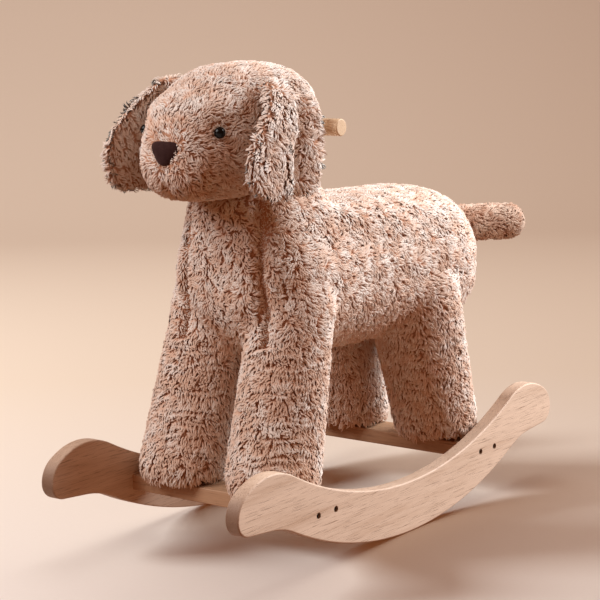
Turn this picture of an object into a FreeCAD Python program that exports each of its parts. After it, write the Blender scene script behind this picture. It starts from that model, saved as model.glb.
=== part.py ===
import FreeCAD, Part
import math
import os

# Plush puppy rocker: a stuffed dog round a timber frame, carried by two curved wooden
# rockers joined by two cross boards.
# Millimetres.  The dog faces -Y, its left side is +X, and +Z is up.  Every piece is drawn
# about the middle of the rockers at floor height; export() then moves it along Y, so that
# the origin ends up on the floor under the middle of the whole model.

# ---------------------------------------------------------------- driving dimensions

# Rockers
ROCKER_LENGTH = 640.0
ROCKER_SPREAD = 284.0            # over the two outer faces
ROCKER_THICKNESS = 18.0
ROCKER_DEPTH = 60.0              # blade depth at mid length
ROCKING_RADIUS = 500.0           # underside
TOP_EDGE_RADIUS = 470.0          # hollow of the top edge
ROCKING_HALF_CHORD = 225.0       # where the underside turns into the hollow behind the tip
TIP_HOLLOW_RADIUS = 110.0
TIP_SLOPE = 5.0                  # degrees, underside of the tip
TIP_LOWER_RADIUS = 19.0
TIP_NOSE_RADIUS = 30.0
TIP_TOP_RADIUS = 80.0
ROCKER_EDGE_ROUND = 2.0

# Cross boards
BOARD_WIDTH = 46.0
BOARD_THICKNESS = 18.0
BOARD_HALF_SPAN = 166.0          # mid-width of each board from the middle of the rockers
BOARD_HEIGHT = 62.0              # mid-thickness above the floor
BOARD_EDGE_ROUND = 1.5

# Screws that hold the rockers to the boards
ROCKER_SCREW_GAP = 32.0          # between the two screws of a pair
ROCKER_SCREW_DIAMETER = 5.0
ROCKER_SCREW_LENGTH = 55.0
ROCKER_SCREW_HEAD = 7.0
ROCKER_SCREW_HEAD_HEIGHT = 4.0
ROCKER_SCREW_SINK = 3.0          # head top below the rocker's face
HEX_SOCKET_DEPTH = 2.2
HEX_SOCKET_CORNER = 2.0          # from the middle of the hexagon to its corners

# Leg posts and the hardware in them
POST_SIDE = 30.0
LEG_BOLT_DIAMETER = 8.0
LEG_BOLT_HEAD = 15.0
LEG_BOLT_HEAD_HEIGHT = 4.0
LEG_INSERT_DIAMETER = 12.0
LEG_INSERT_LENGTH = 28.0
LEG_INSERT_END = 2.0             # closed upper end
LEG_BOLT_ENGAGEMENT = 24.0       # bolt length inside the insert

# Seat board, neck post and their screws
SEAT_BOARD_THICKNESS = 18.0
SEAT_BOARD_WIDTH = 138.0
SEAT_BOARD_UNDERSIDE = 258.0
SEAT_BOARD_OVERHANG = 8.0        # past the leg posts, front and rear
SEAT_BOARD_CORNER = 28.0
SEAT_SCREW_DIAMETER = 6.0
SEAT_SCREW_LENGTH = 50.0
SEAT_SCREW_HEAD = 11.0
SEAT_SCREW_HEAD_HEIGHT = 3.0
NECK_POST_WIDTH = 36.0
NECK_POST_DEPTH = 44.0
NECK_POST_ABOVE_HANDLE = 20.0    # wood left over the handle's hole
NECK_SCREW_GAP = 22.0

# Handle through the head
HANDLE_DIAMETER = 19.0
HANDLE_LENGTH = 240.0
HANDLE_Y = -97.0
HANDLE_HEIGHT = 477.0
HANDLE_END_ROUND = 1.5
HANDLE_SCREW_DIAMETER = 4.0
HANDLE_SCREW_HEAD = 8.0
HANDLE_SCREW_HEAD_HEIGHT = 2.5
HANDLE_SCREW_PAST_ROD = 6.0      # its point, beyond the far side of the handle

# Plush
COVER_THICKNESS = 6.0            # fabric backing and pressed pile
SECTION_SQUARENESS = 2.35        # exponent of the body and head sections, 2 is an ellipse
NECK_SQUARENESS = 2.6
EYE_DIAMETER = 12.5
EYE_DOME_HEIGHT = 5.5
EYE_STEM_DIAMETER = 4.0
EYE_STEM_LENGTH = 16.0
EYE_WASHER_DIAMETER = 16.0
EYE_WASHER_THICKNESS = 1.6
EYE_WASHER_GAP = 1.0             # behind the head cover
EYE_HALF_SPACING = 54.5
EYE_SINK = 2.0                   # rim below the head's surface
EYE_HEIGHT = 479.0
EYE_TURN = 50.0                  # degrees that each eye looks outward
NOSE_WIDTH = 48.0
NOSE_HEIGHT = 27.0
NOSE_THICKNESS = 14.0
NOSE_POINT_WIDTH = 8.8           # flat at the lower point
NOSE_CORNER = 3.5
NOSE_EDGE_ROUND = 3.1
NOSE_CENTRE_HEIGHT = 459.5
NOSE_STAND_OUT = 3.5             # in front of the muzzle

# Ears: flaps that swing about their top seams
EAR_THICKNESS = 15.0
EAR_SEAM_HEIGHT = 528.0
EAR_SEAM_GAP = 4.0               # between the head and the ear's inner side at the seam
EAR_INNER_X = 93.5               # inner face of the hanging part
EAR_BEND_DROP = 58.0             # from the seam down to where the flap hangs straight
EAR_SEAM_FRONT = -168.0
EAR_SEAM_REAR = -117.0
# Side view, down the rear edge, round the bottom and up the front edge: (y, height)
EAR_OUTLINE = (
    (-113.0, 464.0),
    (-125.0, 416.0),
    (-180.5, 404.0),
    (-230.0, 418.0),
    (-240.0, 446.0),
    (-214.0, 490.0),
)

# Tail: a stuffed roll that swings about its sewn end
TAIL_DIAMETER = 50.0
TAIL_REACH = 88.0                # from the swing axis to the centre of the round tip
TAIL_HEIGHT = 319.0
TAIL_SWING = 38.0                # degrees towards the dog's left, as it rests
TAIL_DROOP = 1.0                 # degrees below level

# Seam that joins the chest and neck cover to the body cover
CHEST_SEAM_Y = -38.0

# Clearances
HOLE_CLEARANCE = 0.25            # round a fastener or the handle
SOFT_GAP = 0.6                   # between a soft piece that swings and what it hangs on

# Body sections: (y, centre height, half width, half height)
TORSO_SECTIONS = (
    (-172.0, 316.0, 36.0, 36.0),
    (-162.0, 310.0, 64.0, 58.0),
    (-128.0, 301.0, 89.0, 80.0),
    (-60.0, 296.0, 94.0, 88.0),
    (40.0, 296.0, 96.0, 88.0),
    (140.0, 295.0, 99.0, 89.0),
    (200.0, 291.0, 97.0, 88.0),
    (238.0, 286.0, 82.0, 78.0),
    (256.0, 283.0, 58.0, 58.0),
    (263.0, 282.0, 28.0, 28.0),
)
HEAD_SECTIONS = (
    (-38.0, 476.0, 28.0, 26.0),
    (-46.0, 476.0, 50.0, 46.0),
    (-74.0, 476.0, 74.0, 67.0),
    (-120.0, 476.0, 82.0, 74.0),
    (-165.0, 473.0, 79.0, 73.0),
    (-200.0, 466.0, 68.0, 65.0),
    (-230.0, 459.0, 54.0, 54.0),
    (-249.0, 456.0, 38.0, 40.0),
    (-257.0, 456.0, 20.0, 22.0),
)
# Neck sections: (height, centre y, half width, half depth)
NECK_SECTIONS = (
    (262.0, -98.0, 70.0, 60.0),
    (310.0, -99.0, 80.0, 73.0),
    (350.0, -102.0, 77.0, 72.0),
    (388.0, -105.0, 72.0, 68.0),
    (430.0, -110.0, 62.0, 60.0),
)
# Leg sections, from the board up: (height above the boards, centre x, centre y, radius)
FRONT_LEG_SECTIONS = (
    (0.0, 64.0, -163.0, 48.0),
    (14.0, 64.0, -162.0, 54.0),
    (40.0, 63.0, -157.0, 53.0),
    (90.0, 60.0, -139.0, 49.0),
    (145.0, 57.0, -123.0, 48.0),
    (200.0, 54.0, -112.0, 50.0),
    (228.0, 52.0, -108.0, 44.0),
)
REAR_LEG_SECTIONS = (
    (0.0, 67.0, 165.0, 46.0),
    (14.0, 67.0, 164.0, 52.0),
    (40.0, 67.0, 159.0, 52.0),
    (80.0, 65.0, 146.0, 52.0),
    (130.0, 61.0, 138.0, 53.0),
    (180.0, 57.0, 136.0, 54.0),
    (215.0, 53.0, 138.0, 46.0),
)

RING_POINTS = 16                 # points round each soft section
SIDES = (("left", 1.0), ("right", -1.0))

# ---------------------------------------------------------------- sizes that follow

BOARD_TOP = BOARD_HEIGHT + BOARD_THICKNESS / 2
BOARD_UNDERSIDE = BOARD_HEIGHT - BOARD_THICKNESS / 2
ROCKER_INNER_X = ROCKER_SPREAD / 2 - ROCKER_THICKNESS
SEAT_BOARD_TOP = SEAT_BOARD_UNDERSIDE + SEAT_BOARD_THICKNESS
NECK_POST_TOP = HANDLE_HEIGHT + HANDLE_DIAMETER / 2 + NECK_POST_ABOVE_HANDLE
EAR_HANG_X = EAR_INNER_X + EAR_THICKNESS / 2
EAR_FRONT = min(point[0] for point in EAR_OUTLINE)
EAR_REAR = max(point[0] for point in EAR_OUTLINE)
EAR_BOTTOM = min(point[1] for point in EAR_OUTLINE)
TAIL_RADIUS = TAIL_DIAMETER / 2
TAIL_AXIS_Y = TORSO_SECTIONS[-1][0] + SOFT_GAP + TAIL_RADIUS
TAIL_TIP_Y = TAIL_AXIS_Y + TAIL_RADIUS + (
    TAIL_REACH * math.cos(math.radians(TAIL_SWING)) * math.cos(math.radians(TAIL_DROOP)))
MODEL_SHIFT_Y = -(max(TAIL_TIP_Y, ROCKER_LENGTH / 2) - ROCKER_LENGTH / 2) / 2

# ---------------------------------------------------------------- general helpers


def vec(x, y, z):
    return FreeCAD.Vector(x, y, z)


def export(name, shape):
    """Writes one node, moved so that the model's box is centred on the origin."""
    placed = shape.copy()
    placed.translate(vec(0, MODEL_SHIFT_Y, 0))
    placed.exportStep("parts/%s.step" % name)


def mirrored(shape, side):
    """A shape drawn for the left side, as it is for side +1 or mirrored for side -1."""
    if side > 0:
        return shape
    return shape.mirror(vec(0, 0, 0), vec(1, 0, 0))


def cylinder(radius, start, direction, length):
    return Part.makeCylinder(radius, length, start, direction)


def block(x_size, y_size, z_size, centre):
    corner = vec(centre.x - x_size / 2, centre.y - y_size / 2, centre.z - z_size / 2)
    return Part.makeBox(x_size, y_size, z_size, corner)


def minor_arc(centre, start, end):
    """The arc under half a turn from start to end round centre."""
    toward = (start - centre) + (end - centre)
    middle = centre + toward.normalize() * (start - centre).Length
    return Part.Arc(start, middle, end).toShape()


def ring(point_at):
    """A closed smooth wire through points spaced evenly round a section."""
    points = [point_at(2 * math.pi * step / RING_POINTS) for step in range(RING_POINTS)]
    curve = Part.BSplineCurve()
    curve.interpolate(points, PeriodicFlag=True)
    return Part.Wire(curve.toShape())


def rounded_power(value, squareness):
    """Signed power that squares off a circle's sine or cosine."""
    return math.copysign(abs(value) ** (2 / squareness), value)


def loft_along_y(sections, wall):
    """A closed form through upright squarish ovals, drawn in by a wall thickness."""
    wires = []
    for y, height, half_width, half_height in sections:
        wires.append(ring(lambda turn: vec(
            (half_width - wall) * rounded_power(math.cos(turn), SECTION_SQUARENESS),
            y,
            height + (half_height - wall) * rounded_power(math.sin(turn), SECTION_SQUARENESS))))
    return Part.makeLoft(wires, True, False)


def loft_along_z(sections, squareness=2.0):
    """A closed form through level ovals: (height, centre x, centre y, half x, half y)."""
    wires = []
    for height, centre_x, centre_y, half_x, half_y in sections:
        wires.append(ring(lambda turn: vec(
            centre_x + half_x * rounded_power(math.cos(turn), squareness),
            centre_y + half_y * rounded_power(math.sin(turn), squareness),
            height)))
    return Part.makeLoft(wires, True, False)


def turned(profile, root, way):
    """A solid turned from closed profile edges, (radius, 0, distance along way)."""
    wire = Part.Wire(Part.__sortEdges__([edge.toShape() for edge in profile]))
    solid = Part.Face(wire).revolve(vec(0, 0, 0), vec(0, 0, 1), 360)
    solid.Placement = FreeCAD.Placement(root, FreeCAD.Rotation(vec(0, 0, 1), way))
    return solid


def headed_screw(point, direction, diameter, length, head, head_height):
    """A screw along direction: its head starts at point, and length is under the head."""
    way = vec(direction.x, direction.y, direction.z).normalize()
    top = cylinder(head / 2, point, way, head_height)
    shank = cylinder(diameter / 2, point + way * head_height, way, length)
    return top.fuse(shank).removeSplitter()


# ---------------------------------------------------------------- rockers and boards


def tip_circles():
    """Centres of the circles that round a rocker's rear tip, in the Y-Z plane."""
    rise = math.sqrt(ROCKING_RADIUS ** 2 - ROCKING_HALF_CHORD ** 2)
    turn_point = vec(0, ROCKING_HALF_CHORD, ROCKING_RADIUS - rise)
    slope = math.asin(ROCKING_HALF_CHORD / ROCKING_RADIUS)
    hollow = turn_point + vec(0, math.sin(slope), -math.cos(slope)) * TIP_HOLLOW_RADIUS
    lip = math.radians(TIP_SLOPE)
    lip_start = hollow + vec(0, -math.sin(lip), math.cos(lip)) * TIP_HOLLOW_RADIUS
    lower_y = ROCKER_LENGTH / 2 - TIP_LOWER_RADIUS
    lower_z = lip_start.z + (lower_y - lip_start.y) * math.tan(lip)
    lower = vec(0, lower_y, lower_z + TIP_LOWER_RADIUS / math.cos(lip))
    lip_end = lower + vec(0, math.sin(lip), -math.cos(lip)) * TIP_LOWER_RADIUS
    nose = vec(0, ROCKER_LENGTH / 2 - TIP_NOSE_RADIUS, lower.z)
    return turn_point, hollow, lip_start, lip_end, lower, nose


def tip_top_centre(nose):
    """Centre of the tip's top arc, which touches the nose arc and the hollow top edge."""
    hollow_top = vec(0, 0, ROCKER_DEPTH + TOP_EDGE_RADIUS)
    reach_top = TOP_EDGE_RADIUS + TIP_TOP_RADIUS
    reach_nose = TIP_TOP_RADIUS - TIP_NOSE_RADIUS
    span = (nose - hollow_top).Length
    along = (span ** 2 + reach_top ** 2 - reach_nose ** 2) / (2 * span)
    aside = math.sqrt(reach_top ** 2 - along ** 2)
    way = (nose - hollow_top).normalize()
    return hollow_top + way * along + vec(0, way.z, -way.y) * aside, hollow_top


def rocker_outline():
    turn_point, hollow, lip_start, lip_end, lower, nose = tip_circles()
    top, hollow_top = tip_top_centre(nose)
    end = vec(0, ROCKER_LENGTH / 2, lower.z)
    nose_top = top + (nose - top).normalize() * TIP_TOP_RADIUS
    edge_end = hollow_top + (top - hollow_top).normalize() * TOP_EDGE_RADIUS
    half = [
        minor_arc(hollow, turn_point, lip_start),
        Part.LineSegment(lip_start, lip_end).toShape(),
        minor_arc(lower, lip_end, end),
        minor_arc(nose, end, nose_top),
        minor_arc(top, nose_top, edge_end),
    ]
    other_half = [edge.mirror(vec(0, 0, 0), vec(0, 1, 0)) for edge in half]
    underside = Part.Arc(vec(0, -turn_point.y, turn_point.z), vec(0, 0, 0), turn_point)
    top_edge = Part.Arc(vec(0, -edge_end.y, edge_end.z), vec(0, 0, ROCKER_DEPTH), edge_end)
    edges = half + other_half + [underside.toShape(), top_edge.toShape()]
    return Part.Wire(Part.__sortEdges__(edges))


def board_places():
    return (("front", -BOARD_HALF_SPAN), ("rear", BOARD_HALF_SPAN))


def rocker_screw_points():
    """Outer ends of the four screw heads in the left rocker."""
    face = ROCKER_SPREAD / 2 - ROCKER_SCREW_SINK
    points = []
    for _, board_y in board_places():
        for offset in (-ROCKER_SCREW_GAP / 2, ROCKER_SCREW_GAP / 2):
            points.append(vec(face, board_y + offset, BOARD_HEIGHT))
    return points


def rocker_screws():
    """Socket-head screws for the left rocker, with their hexagon sockets."""
    screws = []
    inward = vec(-1, 0, 0)
    for point in rocker_screw_points():
        screw = headed_screw(point, inward, ROCKER_SCREW_DIAMETER, ROCKER_SCREW_LENGTH,
                             ROCKER_SCREW_HEAD, ROCKER_SCREW_HEAD_HEIGHT)
        corners = []
        for step in range(7):
            turn = math.radians(60 * step)
            corners.append(point + vec(0, math.cos(turn), math.sin(turn)) * HEX_SOCKET_CORNER)
        socket = Part.Face(Part.makePolygon(corners)).extrude(inward * HEX_SOCKET_DEPTH)
        screws.append(screw.cut(socket))
    return screws


def rocker_screw_holes():
    holes = []
    inward = vec(-1, 0, 0)
    for point in rocker_screw_points():
        mouth = point - inward * ROCKER_SCREW_SINK
        holes.append(cylinder(ROCKER_SCREW_HEAD / 2 + HOLE_CLEARANCE, mouth, inward,
                              ROCKER_SCREW_SINK + ROCKER_SCREW_HEAD_HEIGHT))
        holes.append(cylinder(ROCKER_SCREW_DIAMETER / 2, mouth, inward,
                              ROCKER_SCREW_SINK + ROCKER_SCREW_HEAD_HEIGHT + ROCKER_SCREW_LENGTH))
    return holes


def make_rocker():
    """The left rocker."""
    outline = rocker_outline()
    outline.translate(vec(ROCKER_INNER_X, 0, 0))
    blade = Part.Face(outline).extrude(vec(ROCKER_THICKNESS, 0, 0))
    rim = [edge for edge in blade.Edges
           if abs(edge.BoundBox.XMin - edge.BoundBox.XMax) < ROCKER_THICKNESS / 2]
    blade = blade.makeFillet(ROCKER_EDGE_ROUND, rim)
    return blade.cut(Part.makeCompound(rocker_screw_holes()))


def leg_foot_points():
    """Middle of each left leg post at the board: front, then rear."""
    return (vec(FRONT_LEG_SECTIONS[0][1], -BOARD_HALF_SPAN, BOARD_TOP),
            vec(REAR_LEG_SECTIONS[0][1], BOARD_HALF_SPAN, BOARD_TOP))


def make_cross_board(board_y):
    length = 2 * ROCKER_INNER_X
    board = block(length, BOARD_WIDTH, BOARD_THICKNESS, vec(0, board_y, BOARD_HEIGHT))
    long_edges = [edge for edge in board.Edges if edge.Length > length / 2]
    board = board.makeFillet(BOARD_EDGE_ROUND, long_edges)
    holes = rocker_screw_holes()
    cutters = holes + [mirrored(hole, -1) for hole in holes]
    for foot in leg_foot_points():
        for _, side in SIDES:
            cutters += leg_bolt_holes(vec(foot.x * side, foot.y, foot.z))
    return board.cut(Part.makeCompound(cutters))


# ---------------------------------------------------------------- timber frame


def leg_bolt_start(foot):
    return vec(foot.x, foot.y, BOARD_UNDERSIDE)


def leg_bolt_holes(foot):
    """Counterbore for the bolt head and the clearance hole through a cross board."""
    start = leg_bolt_start(foot)
    up = vec(0, 0, 1)
    return [cylinder(LEG_BOLT_HEAD / 2 + HOLE_CLEARANCE, start, up, LEG_BOLT_HEAD_HEIGHT),
            cylinder(LEG_BOLT_DIAMETER / 2 + HOLE_CLEARANCE, start, up, BOARD_THICKNESS)]


def make_leg_bolt(foot):
    length = BOARD_THICKNESS - LEG_BOLT_HEAD_HEIGHT + LEG_BOLT_ENGAGEMENT
    return headed_screw(leg_bolt_start(foot), vec(0, 0, 1), LEG_BOLT_DIAMETER, length,
                        LEG_BOLT_HEAD, LEG_BOLT_HEAD_HEIGHT)


def make_leg_insert(foot):
    """Threaded sleeve set into the foot of a leg post."""
    up = vec(0, 0, 1)
    sleeve = cylinder(LEG_INSERT_DIAMETER / 2, foot, up, LEG_INSERT_LENGTH)
    return sleeve.cut(cylinder(LEG_BOLT_DIAMETER / 2, foot, up, LEG_INSERT_LENGTH - LEG_INSERT_END))


def post_top_point(sections):
    """Where a left leg post meets the seat board, on the leg's own centre line."""
    height = SEAT_BOARD_UNDERSIDE
    for low, high in zip(sections, sections[1:]):
        if BOARD_TOP + low[0] <= height <= BOARD_TOP + high[0]:
            share = (height - BOARD_TOP - low[0]) / (high[0] - low[0])
            return vec(low[1] + share * (high[1] - low[1]),
                       low[2] + share * (high[2] - low[2]), height)
    last = sections[-1]
    return vec(last[1], last[2], height)


def post_solid(foot, top, side_length):
    """A square post with level ends, leaning from foot to top."""
    wires = []
    for point in (foot, top):
        half = side_length / 2
        corners = [point + vec(half, half, 0), point + vec(-half, half, 0),
                   point + vec(-half, -half, 0), point + vec(half, -half, 0)]
        wires.append(Part.makePolygon(corners + corners[:1]))
    return Part.makeLoft(wires, True, True)


def make_leg_post(foot, top):
    post = post_solid(foot, top, POST_SIDE)
    insert_hole = cylinder(LEG_INSERT_DIAMETER / 2, foot, vec(0, 0, 1), LEG_INSERT_LENGTH)
    return post.cut(insert_hole).cut(seat_screw(top))


def seat_screw(top):
    """A screw down through the seat board into a post top."""
    start = vec(top.x, top.y, SEAT_BOARD_TOP)
    return headed_screw(start, vec(0, 0, -1), SEAT_SCREW_DIAMETER, SEAT_SCREW_LENGTH,
                        SEAT_SCREW_HEAD, SEAT_SCREW_HEAD_HEIGHT)


def neck_screw_points():
    return [vec(0, HANDLE_Y + offset, SEAT_BOARD_UNDERSIDE)
            for offset in (-NECK_SCREW_GAP / 2, NECK_SCREW_GAP / 2)]


def neck_screw(point):
    """A screw up through the seat board into the neck post."""
    return headed_screw(point, vec(0, 0, 1), SEAT_SCREW_DIAMETER, SEAT_SCREW_LENGTH,
                        SEAT_SCREW_HEAD, SEAT_SCREW_HEAD_HEIGHT)


def make_seat_board(post_tops, screws):
    front = min(top.y for top in post_tops) - POST_SIDE / 2 - SEAT_BOARD_OVERHANG
    rear = max(top.y for top in post_tops) + POST_SIDE / 2 + SEAT_BOARD_OVERHANG
    centre = vec(0, (front + rear) / 2, SEAT_BOARD_UNDERSIDE + SEAT_BOARD_THICKNESS / 2)
    board = block(SEAT_BOARD_WIDTH, rear - front, SEAT_BOARD_THICKNESS, centre)
    corners = [edge for edge in board.Edges
               if edge.BoundBox.ZMax - edge.BoundBox.ZMin > SEAT_BOARD_THICKNESS / 2]
    board = board.makeFillet(SEAT_BOARD_CORNER, corners)
    return board.cut(Part.makeCompound(screws))


def make_neck_post():
    height = NECK_POST_TOP - SEAT_BOARD_TOP
    centre = vec(0, HANDLE_Y, SEAT_BOARD_TOP + height / 2)
    return block(NECK_POST_WIDTH, NECK_POST_DEPTH, height, centre)


def handle_rod(radius):
    start = vec(-HANDLE_LENGTH / 2, HANDLE_Y, HANDLE_HEIGHT)
    return cylinder(radius, start, vec(1, 0, 0), HANDLE_LENGTH)


def make_handle():
    rod = handle_rod(HANDLE_DIAMETER / 2)
    rims = [edge for edge in rod.Edges if len(edge.Vertexes) == 1]
    return rod.makeFillet(HANDLE_END_ROUND, rims)


def handle_screw():
    """Locks the handle: from the back of the neck post through the rod."""
    head_seat = HANDLE_Y + NECK_POST_DEPTH / 2
    length = (NECK_POST_DEPTH / 2 - HANDLE_SCREW_HEAD_HEIGHT + HANDLE_DIAMETER / 2
              + HANDLE_SCREW_PAST_ROD)
    return headed_screw(vec(0, head_seat, HANDLE_HEIGHT), vec(0, -1, 0),
                        HANDLE_SCREW_DIAMETER, length, HANDLE_SCREW_HEAD,
                        HANDLE_SCREW_HEAD_HEIGHT)


# ---------------------------------------------------------------- plush pieces


def leg_solid(sections, wall):
    rows = []
    for height, centre_x, centre_y, radius in sections:
        rows.append((BOARD_TOP + height, centre_x, centre_y, radius - wall, radius - wall))
    if wall > 0:
        first = rows[0]
        rows[0] = (first[0] + wall,) + first[1:]
    return loft_along_z(rows)


def neck_solid(wall):
    rows = []
    for height, centre_y, half_width, half_depth in NECK_SECTIONS:
        rows.append((height, 0.0, centre_y, half_width - wall, half_depth - wall))
    return loft_along_z(rows, NECK_SQUARENESS)


def trimmed(sections, wall):
    """Body sections with the two end ones moved in by a wall thickness."""
    if wall == 0:
        return sections
    first, last = sections[0], sections[-1]
    inward = math.copysign(wall, last[0] - first[0])
    rows = list(sections)
    rows[0] = (first[0] + inward,) + first[1:]
    rows[-1] = (last[0] - inward,) + last[1:]
    return rows


def torso_solid(wall):
    return loft_along_y(trimmed(TORSO_SECTIONS, wall), wall)


def chest_half_space(box):
    """A block over everything in a bounding box that lies in front of the chest seam."""
    depth = CHEST_SEAM_Y - box.YMin
    return Part.makeBox(box.XLength, depth, box.ZLength, vec(box.XMin, box.YMin, box.ZMin))


def head_solid(wall):
    return loft_along_y(trimmed(HEAD_SECTIONS, wall), wall)


def eye_axis():
    """The way the left eye looks."""
    turn = math.radians(EYE_TURN)
    return vec(math.sin(turn), -math.cos(turn), 0)


def eye_seat(head):
    """Point on the front of the head under the left eye."""
    start = vec(EYE_HALF_SPACING, HANDLE_Y, EYE_HEIGHT)
    probe = Part.makeLine(start, start + vec(0, HEAD_SECTIONS[-1][0] * 2, 0))
    inside = head.common(probe)
    return min((corner.Point for corner in inside.Vertexes), key=lambda point: point.y)


def make_eye(seat, way):
    """Domed bead on a stem."""
    rim = EYE_DIAMETER / 2
    stem = EYE_STEM_DIAMETER / 2
    crown = vec(0, 0, EYE_DOME_HEIGHT)
    dome_radius = (rim ** 2 + EYE_DOME_HEIGHT ** 2) / (2 * EYE_DOME_HEIGHT)
    bulge_turn = math.asin(rim / dome_radius) / 2
    dome_centre = vec(0, 0, EYE_DOME_HEIGHT - dome_radius)
    bulge = dome_centre + vec(math.sin(bulge_turn), 0, math.cos(bulge_turn)) * dome_radius
    profile = [
        Part.Arc(crown, bulge, vec(rim, 0, 0)),
        Part.LineSegment(vec(rim, 0, 0), vec(stem, 0, 0)),
        Part.LineSegment(vec(stem, 0, 0), vec(stem, 0, -EYE_STEM_LENGTH)),
        Part.LineSegment(vec(stem, 0, -EYE_STEM_LENGTH), vec(0, 0, -EYE_STEM_LENGTH)),
        Part.LineSegment(vec(0, 0, -EYE_STEM_LENGTH), crown),
    ]
    return turned(profile, seat, way)


def make_eye_washer(seat, way):
    """Push-on washer on the stem, behind the fabric."""
    start = seat - way * (COVER_THICKNESS + EYE_WASHER_THICKNESS + EYE_WASHER_GAP)
    disc = cylinder(EYE_WASHER_DIAMETER / 2, start, way, EYE_WASHER_THICKNESS)
    return disc.cut(cylinder(EYE_STEM_DIAMETER / 2, start, way, EYE_WASHER_THICKNESS))


def make_nose():
    """Padded triangle, point down, with rounded corners."""
    half_width = NOSE_WIDTH / 2
    half_point = NOSE_POINT_WIDTH / 2
    back = HEAD_SECTIONS[-1][0] - NOSE_STAND_OUT + NOSE_THICKNESS
    top = NOSE_CENTRE_HEIGHT + NOSE_HEIGHT / 2
    bottom = NOSE_CENTRE_HEIGHT - NOSE_HEIGHT / 2
    corners = [vec(-half_width, back, top), vec(half_width, back, top),
               vec(half_point, back, bottom), vec(-half_point, back, bottom)]
    plate = Part.Face(Part.makePolygon(corners + corners[:1]))
    plate = plate.extrude(vec(0, -NOSE_THICKNESS, 0))
    upright = [edge for edge in plate.Edges
               if edge.BoundBox.YMax - edge.BoundBox.YMin > NOSE_THICKNESS / 2]
    plate = plate.makeFillet(NOSE_CORNER, upright)
    front = back - NOSE_THICKNESS
    rim = [edge for edge in plate.Edges if abs(edge.BoundBox.YMax - front) < 0.01]
    return plate.makeFillet(NOSE_EDGE_ROUND, rim)


def ear_band():
    """Side-to-side shape of the left ear: rolled over the seam, then hanging straight."""
    bend_z = EAR_SEAM_HEIGHT - EAR_BEND_DROP
    drop = EAR_BEND_DROP
    seam_x = ear_seam_x()
    run = EAR_HANG_X - seam_x
    radius = (run ** 2 + drop ** 2) / (2 * run)
    centre = vec(EAR_HANG_X - radius, 0, bend_z)
    half = EAR_THICKNESS / 2
    seam = vec(seam_x, 0, EAR_SEAM_HEIGHT)
    outward = (seam - centre).normalize()
    inner_seam = seam - outward * half
    outer_seam = seam + outward * half
    inner_bend = vec(EAR_HANG_X - half, 0, bend_z)
    outer_bend = vec(EAR_HANG_X + half, 0, bend_z)
    round_start = EAR_BOTTOM + half
    inner_low = vec(EAR_HANG_X - half, 0, round_start)
    outer_low = vec(EAR_HANG_X + half, 0, round_start)
    along = vec(-outward.z, 0, outward.x)
    edges = [
        minor_arc(centre, inner_seam, inner_bend),
        Part.LineSegment(inner_bend, inner_low).toShape(),
        Part.Arc(inner_low, vec(EAR_HANG_X, 0, EAR_BOTTOM), outer_low).toShape(),
        Part.LineSegment(outer_low, outer_bend).toShape(),
        minor_arc(centre, outer_bend, outer_seam),
        Part.Arc(outer_seam, seam + along * half, inner_seam).toShape(),
    ]
    return Part.Wire(Part.__sortEdges__(edges))


def ear_seam_x():
    """Half spacing of the ear seams, a small gap outside the head's surface."""
    section = max(HEAD_SECTIONS, key=lambda row: row[2])
    rise = (EAR_SEAM_HEIGHT - section[1]) / section[3]
    power = SECTION_SQUARENESS
    surface = section[2] * (1 - rise ** power) ** (1 / power)
    return surface + EAR_THICKNESS / 2 + EAR_SEAM_GAP


def ear_side_outline():
    """Front-to-back shape of an ear: narrow at the seam, wide and round below."""
    seam = EAR_SEAM_HEIGHT + EAR_THICKNESS
    points = [vec(0, EAR_SEAM_REAR, seam)]
    points += [vec(0, y, height) for y, height in EAR_OUTLINE]
    points.append(vec(0, EAR_SEAM_FRONT, seam))
    side = Part.BSplineCurve()
    side.interpolate(points)
    top = Part.LineSegment(points[-1], points[0])
    return Part.Wire([side.toShape(), top.toShape()])


def make_ear():
    """The left ear, before it is mirrored for the right."""
    band = ear_band()
    band.translate(vec(0, EAR_FRONT - EAR_THICKNESS, 0))
    curved = Part.Face(band).extrude(vec(0, EAR_REAR - EAR_FRONT + 2 * EAR_THICKNESS, 0))
    outline = Part.Face(ear_side_outline()).extrude(vec(2 * EAR_HANG_X, 0, 0))
    return curved.common(outline)


def make_tail():
    swing = math.radians(TAIL_SWING)
    droop = math.radians(TAIL_DROOP)
    way = vec(math.sin(swing) * math.cos(droop), math.cos(swing) * math.cos(droop),
              -math.sin(droop))
    diagonal = TAIL_RADIUS * math.sqrt(0.5)
    root_end = vec(0, 0, -TAIL_RADIUS)
    tip_end = vec(0, 0, TAIL_REACH + TAIL_RADIUS)
    profile = [
        Part.Arc(root_end, vec(diagonal, 0, -diagonal), vec(TAIL_RADIUS, 0, 0)),
        Part.LineSegment(vec(TAIL_RADIUS, 0, 0), vec(TAIL_RADIUS, 0, TAIL_REACH)),
        Part.Arc(vec(TAIL_RADIUS, 0, TAIL_REACH),
                 vec(diagonal, 0, TAIL_REACH + diagonal), tip_end),
        Part.LineSegment(tip_end, root_end),
    ]
    return turned(profile, vec(0, TAIL_AXIS_Y, TAIL_HEIGHT), way)


# ---------------------------------------------------------------- the whole model


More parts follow.
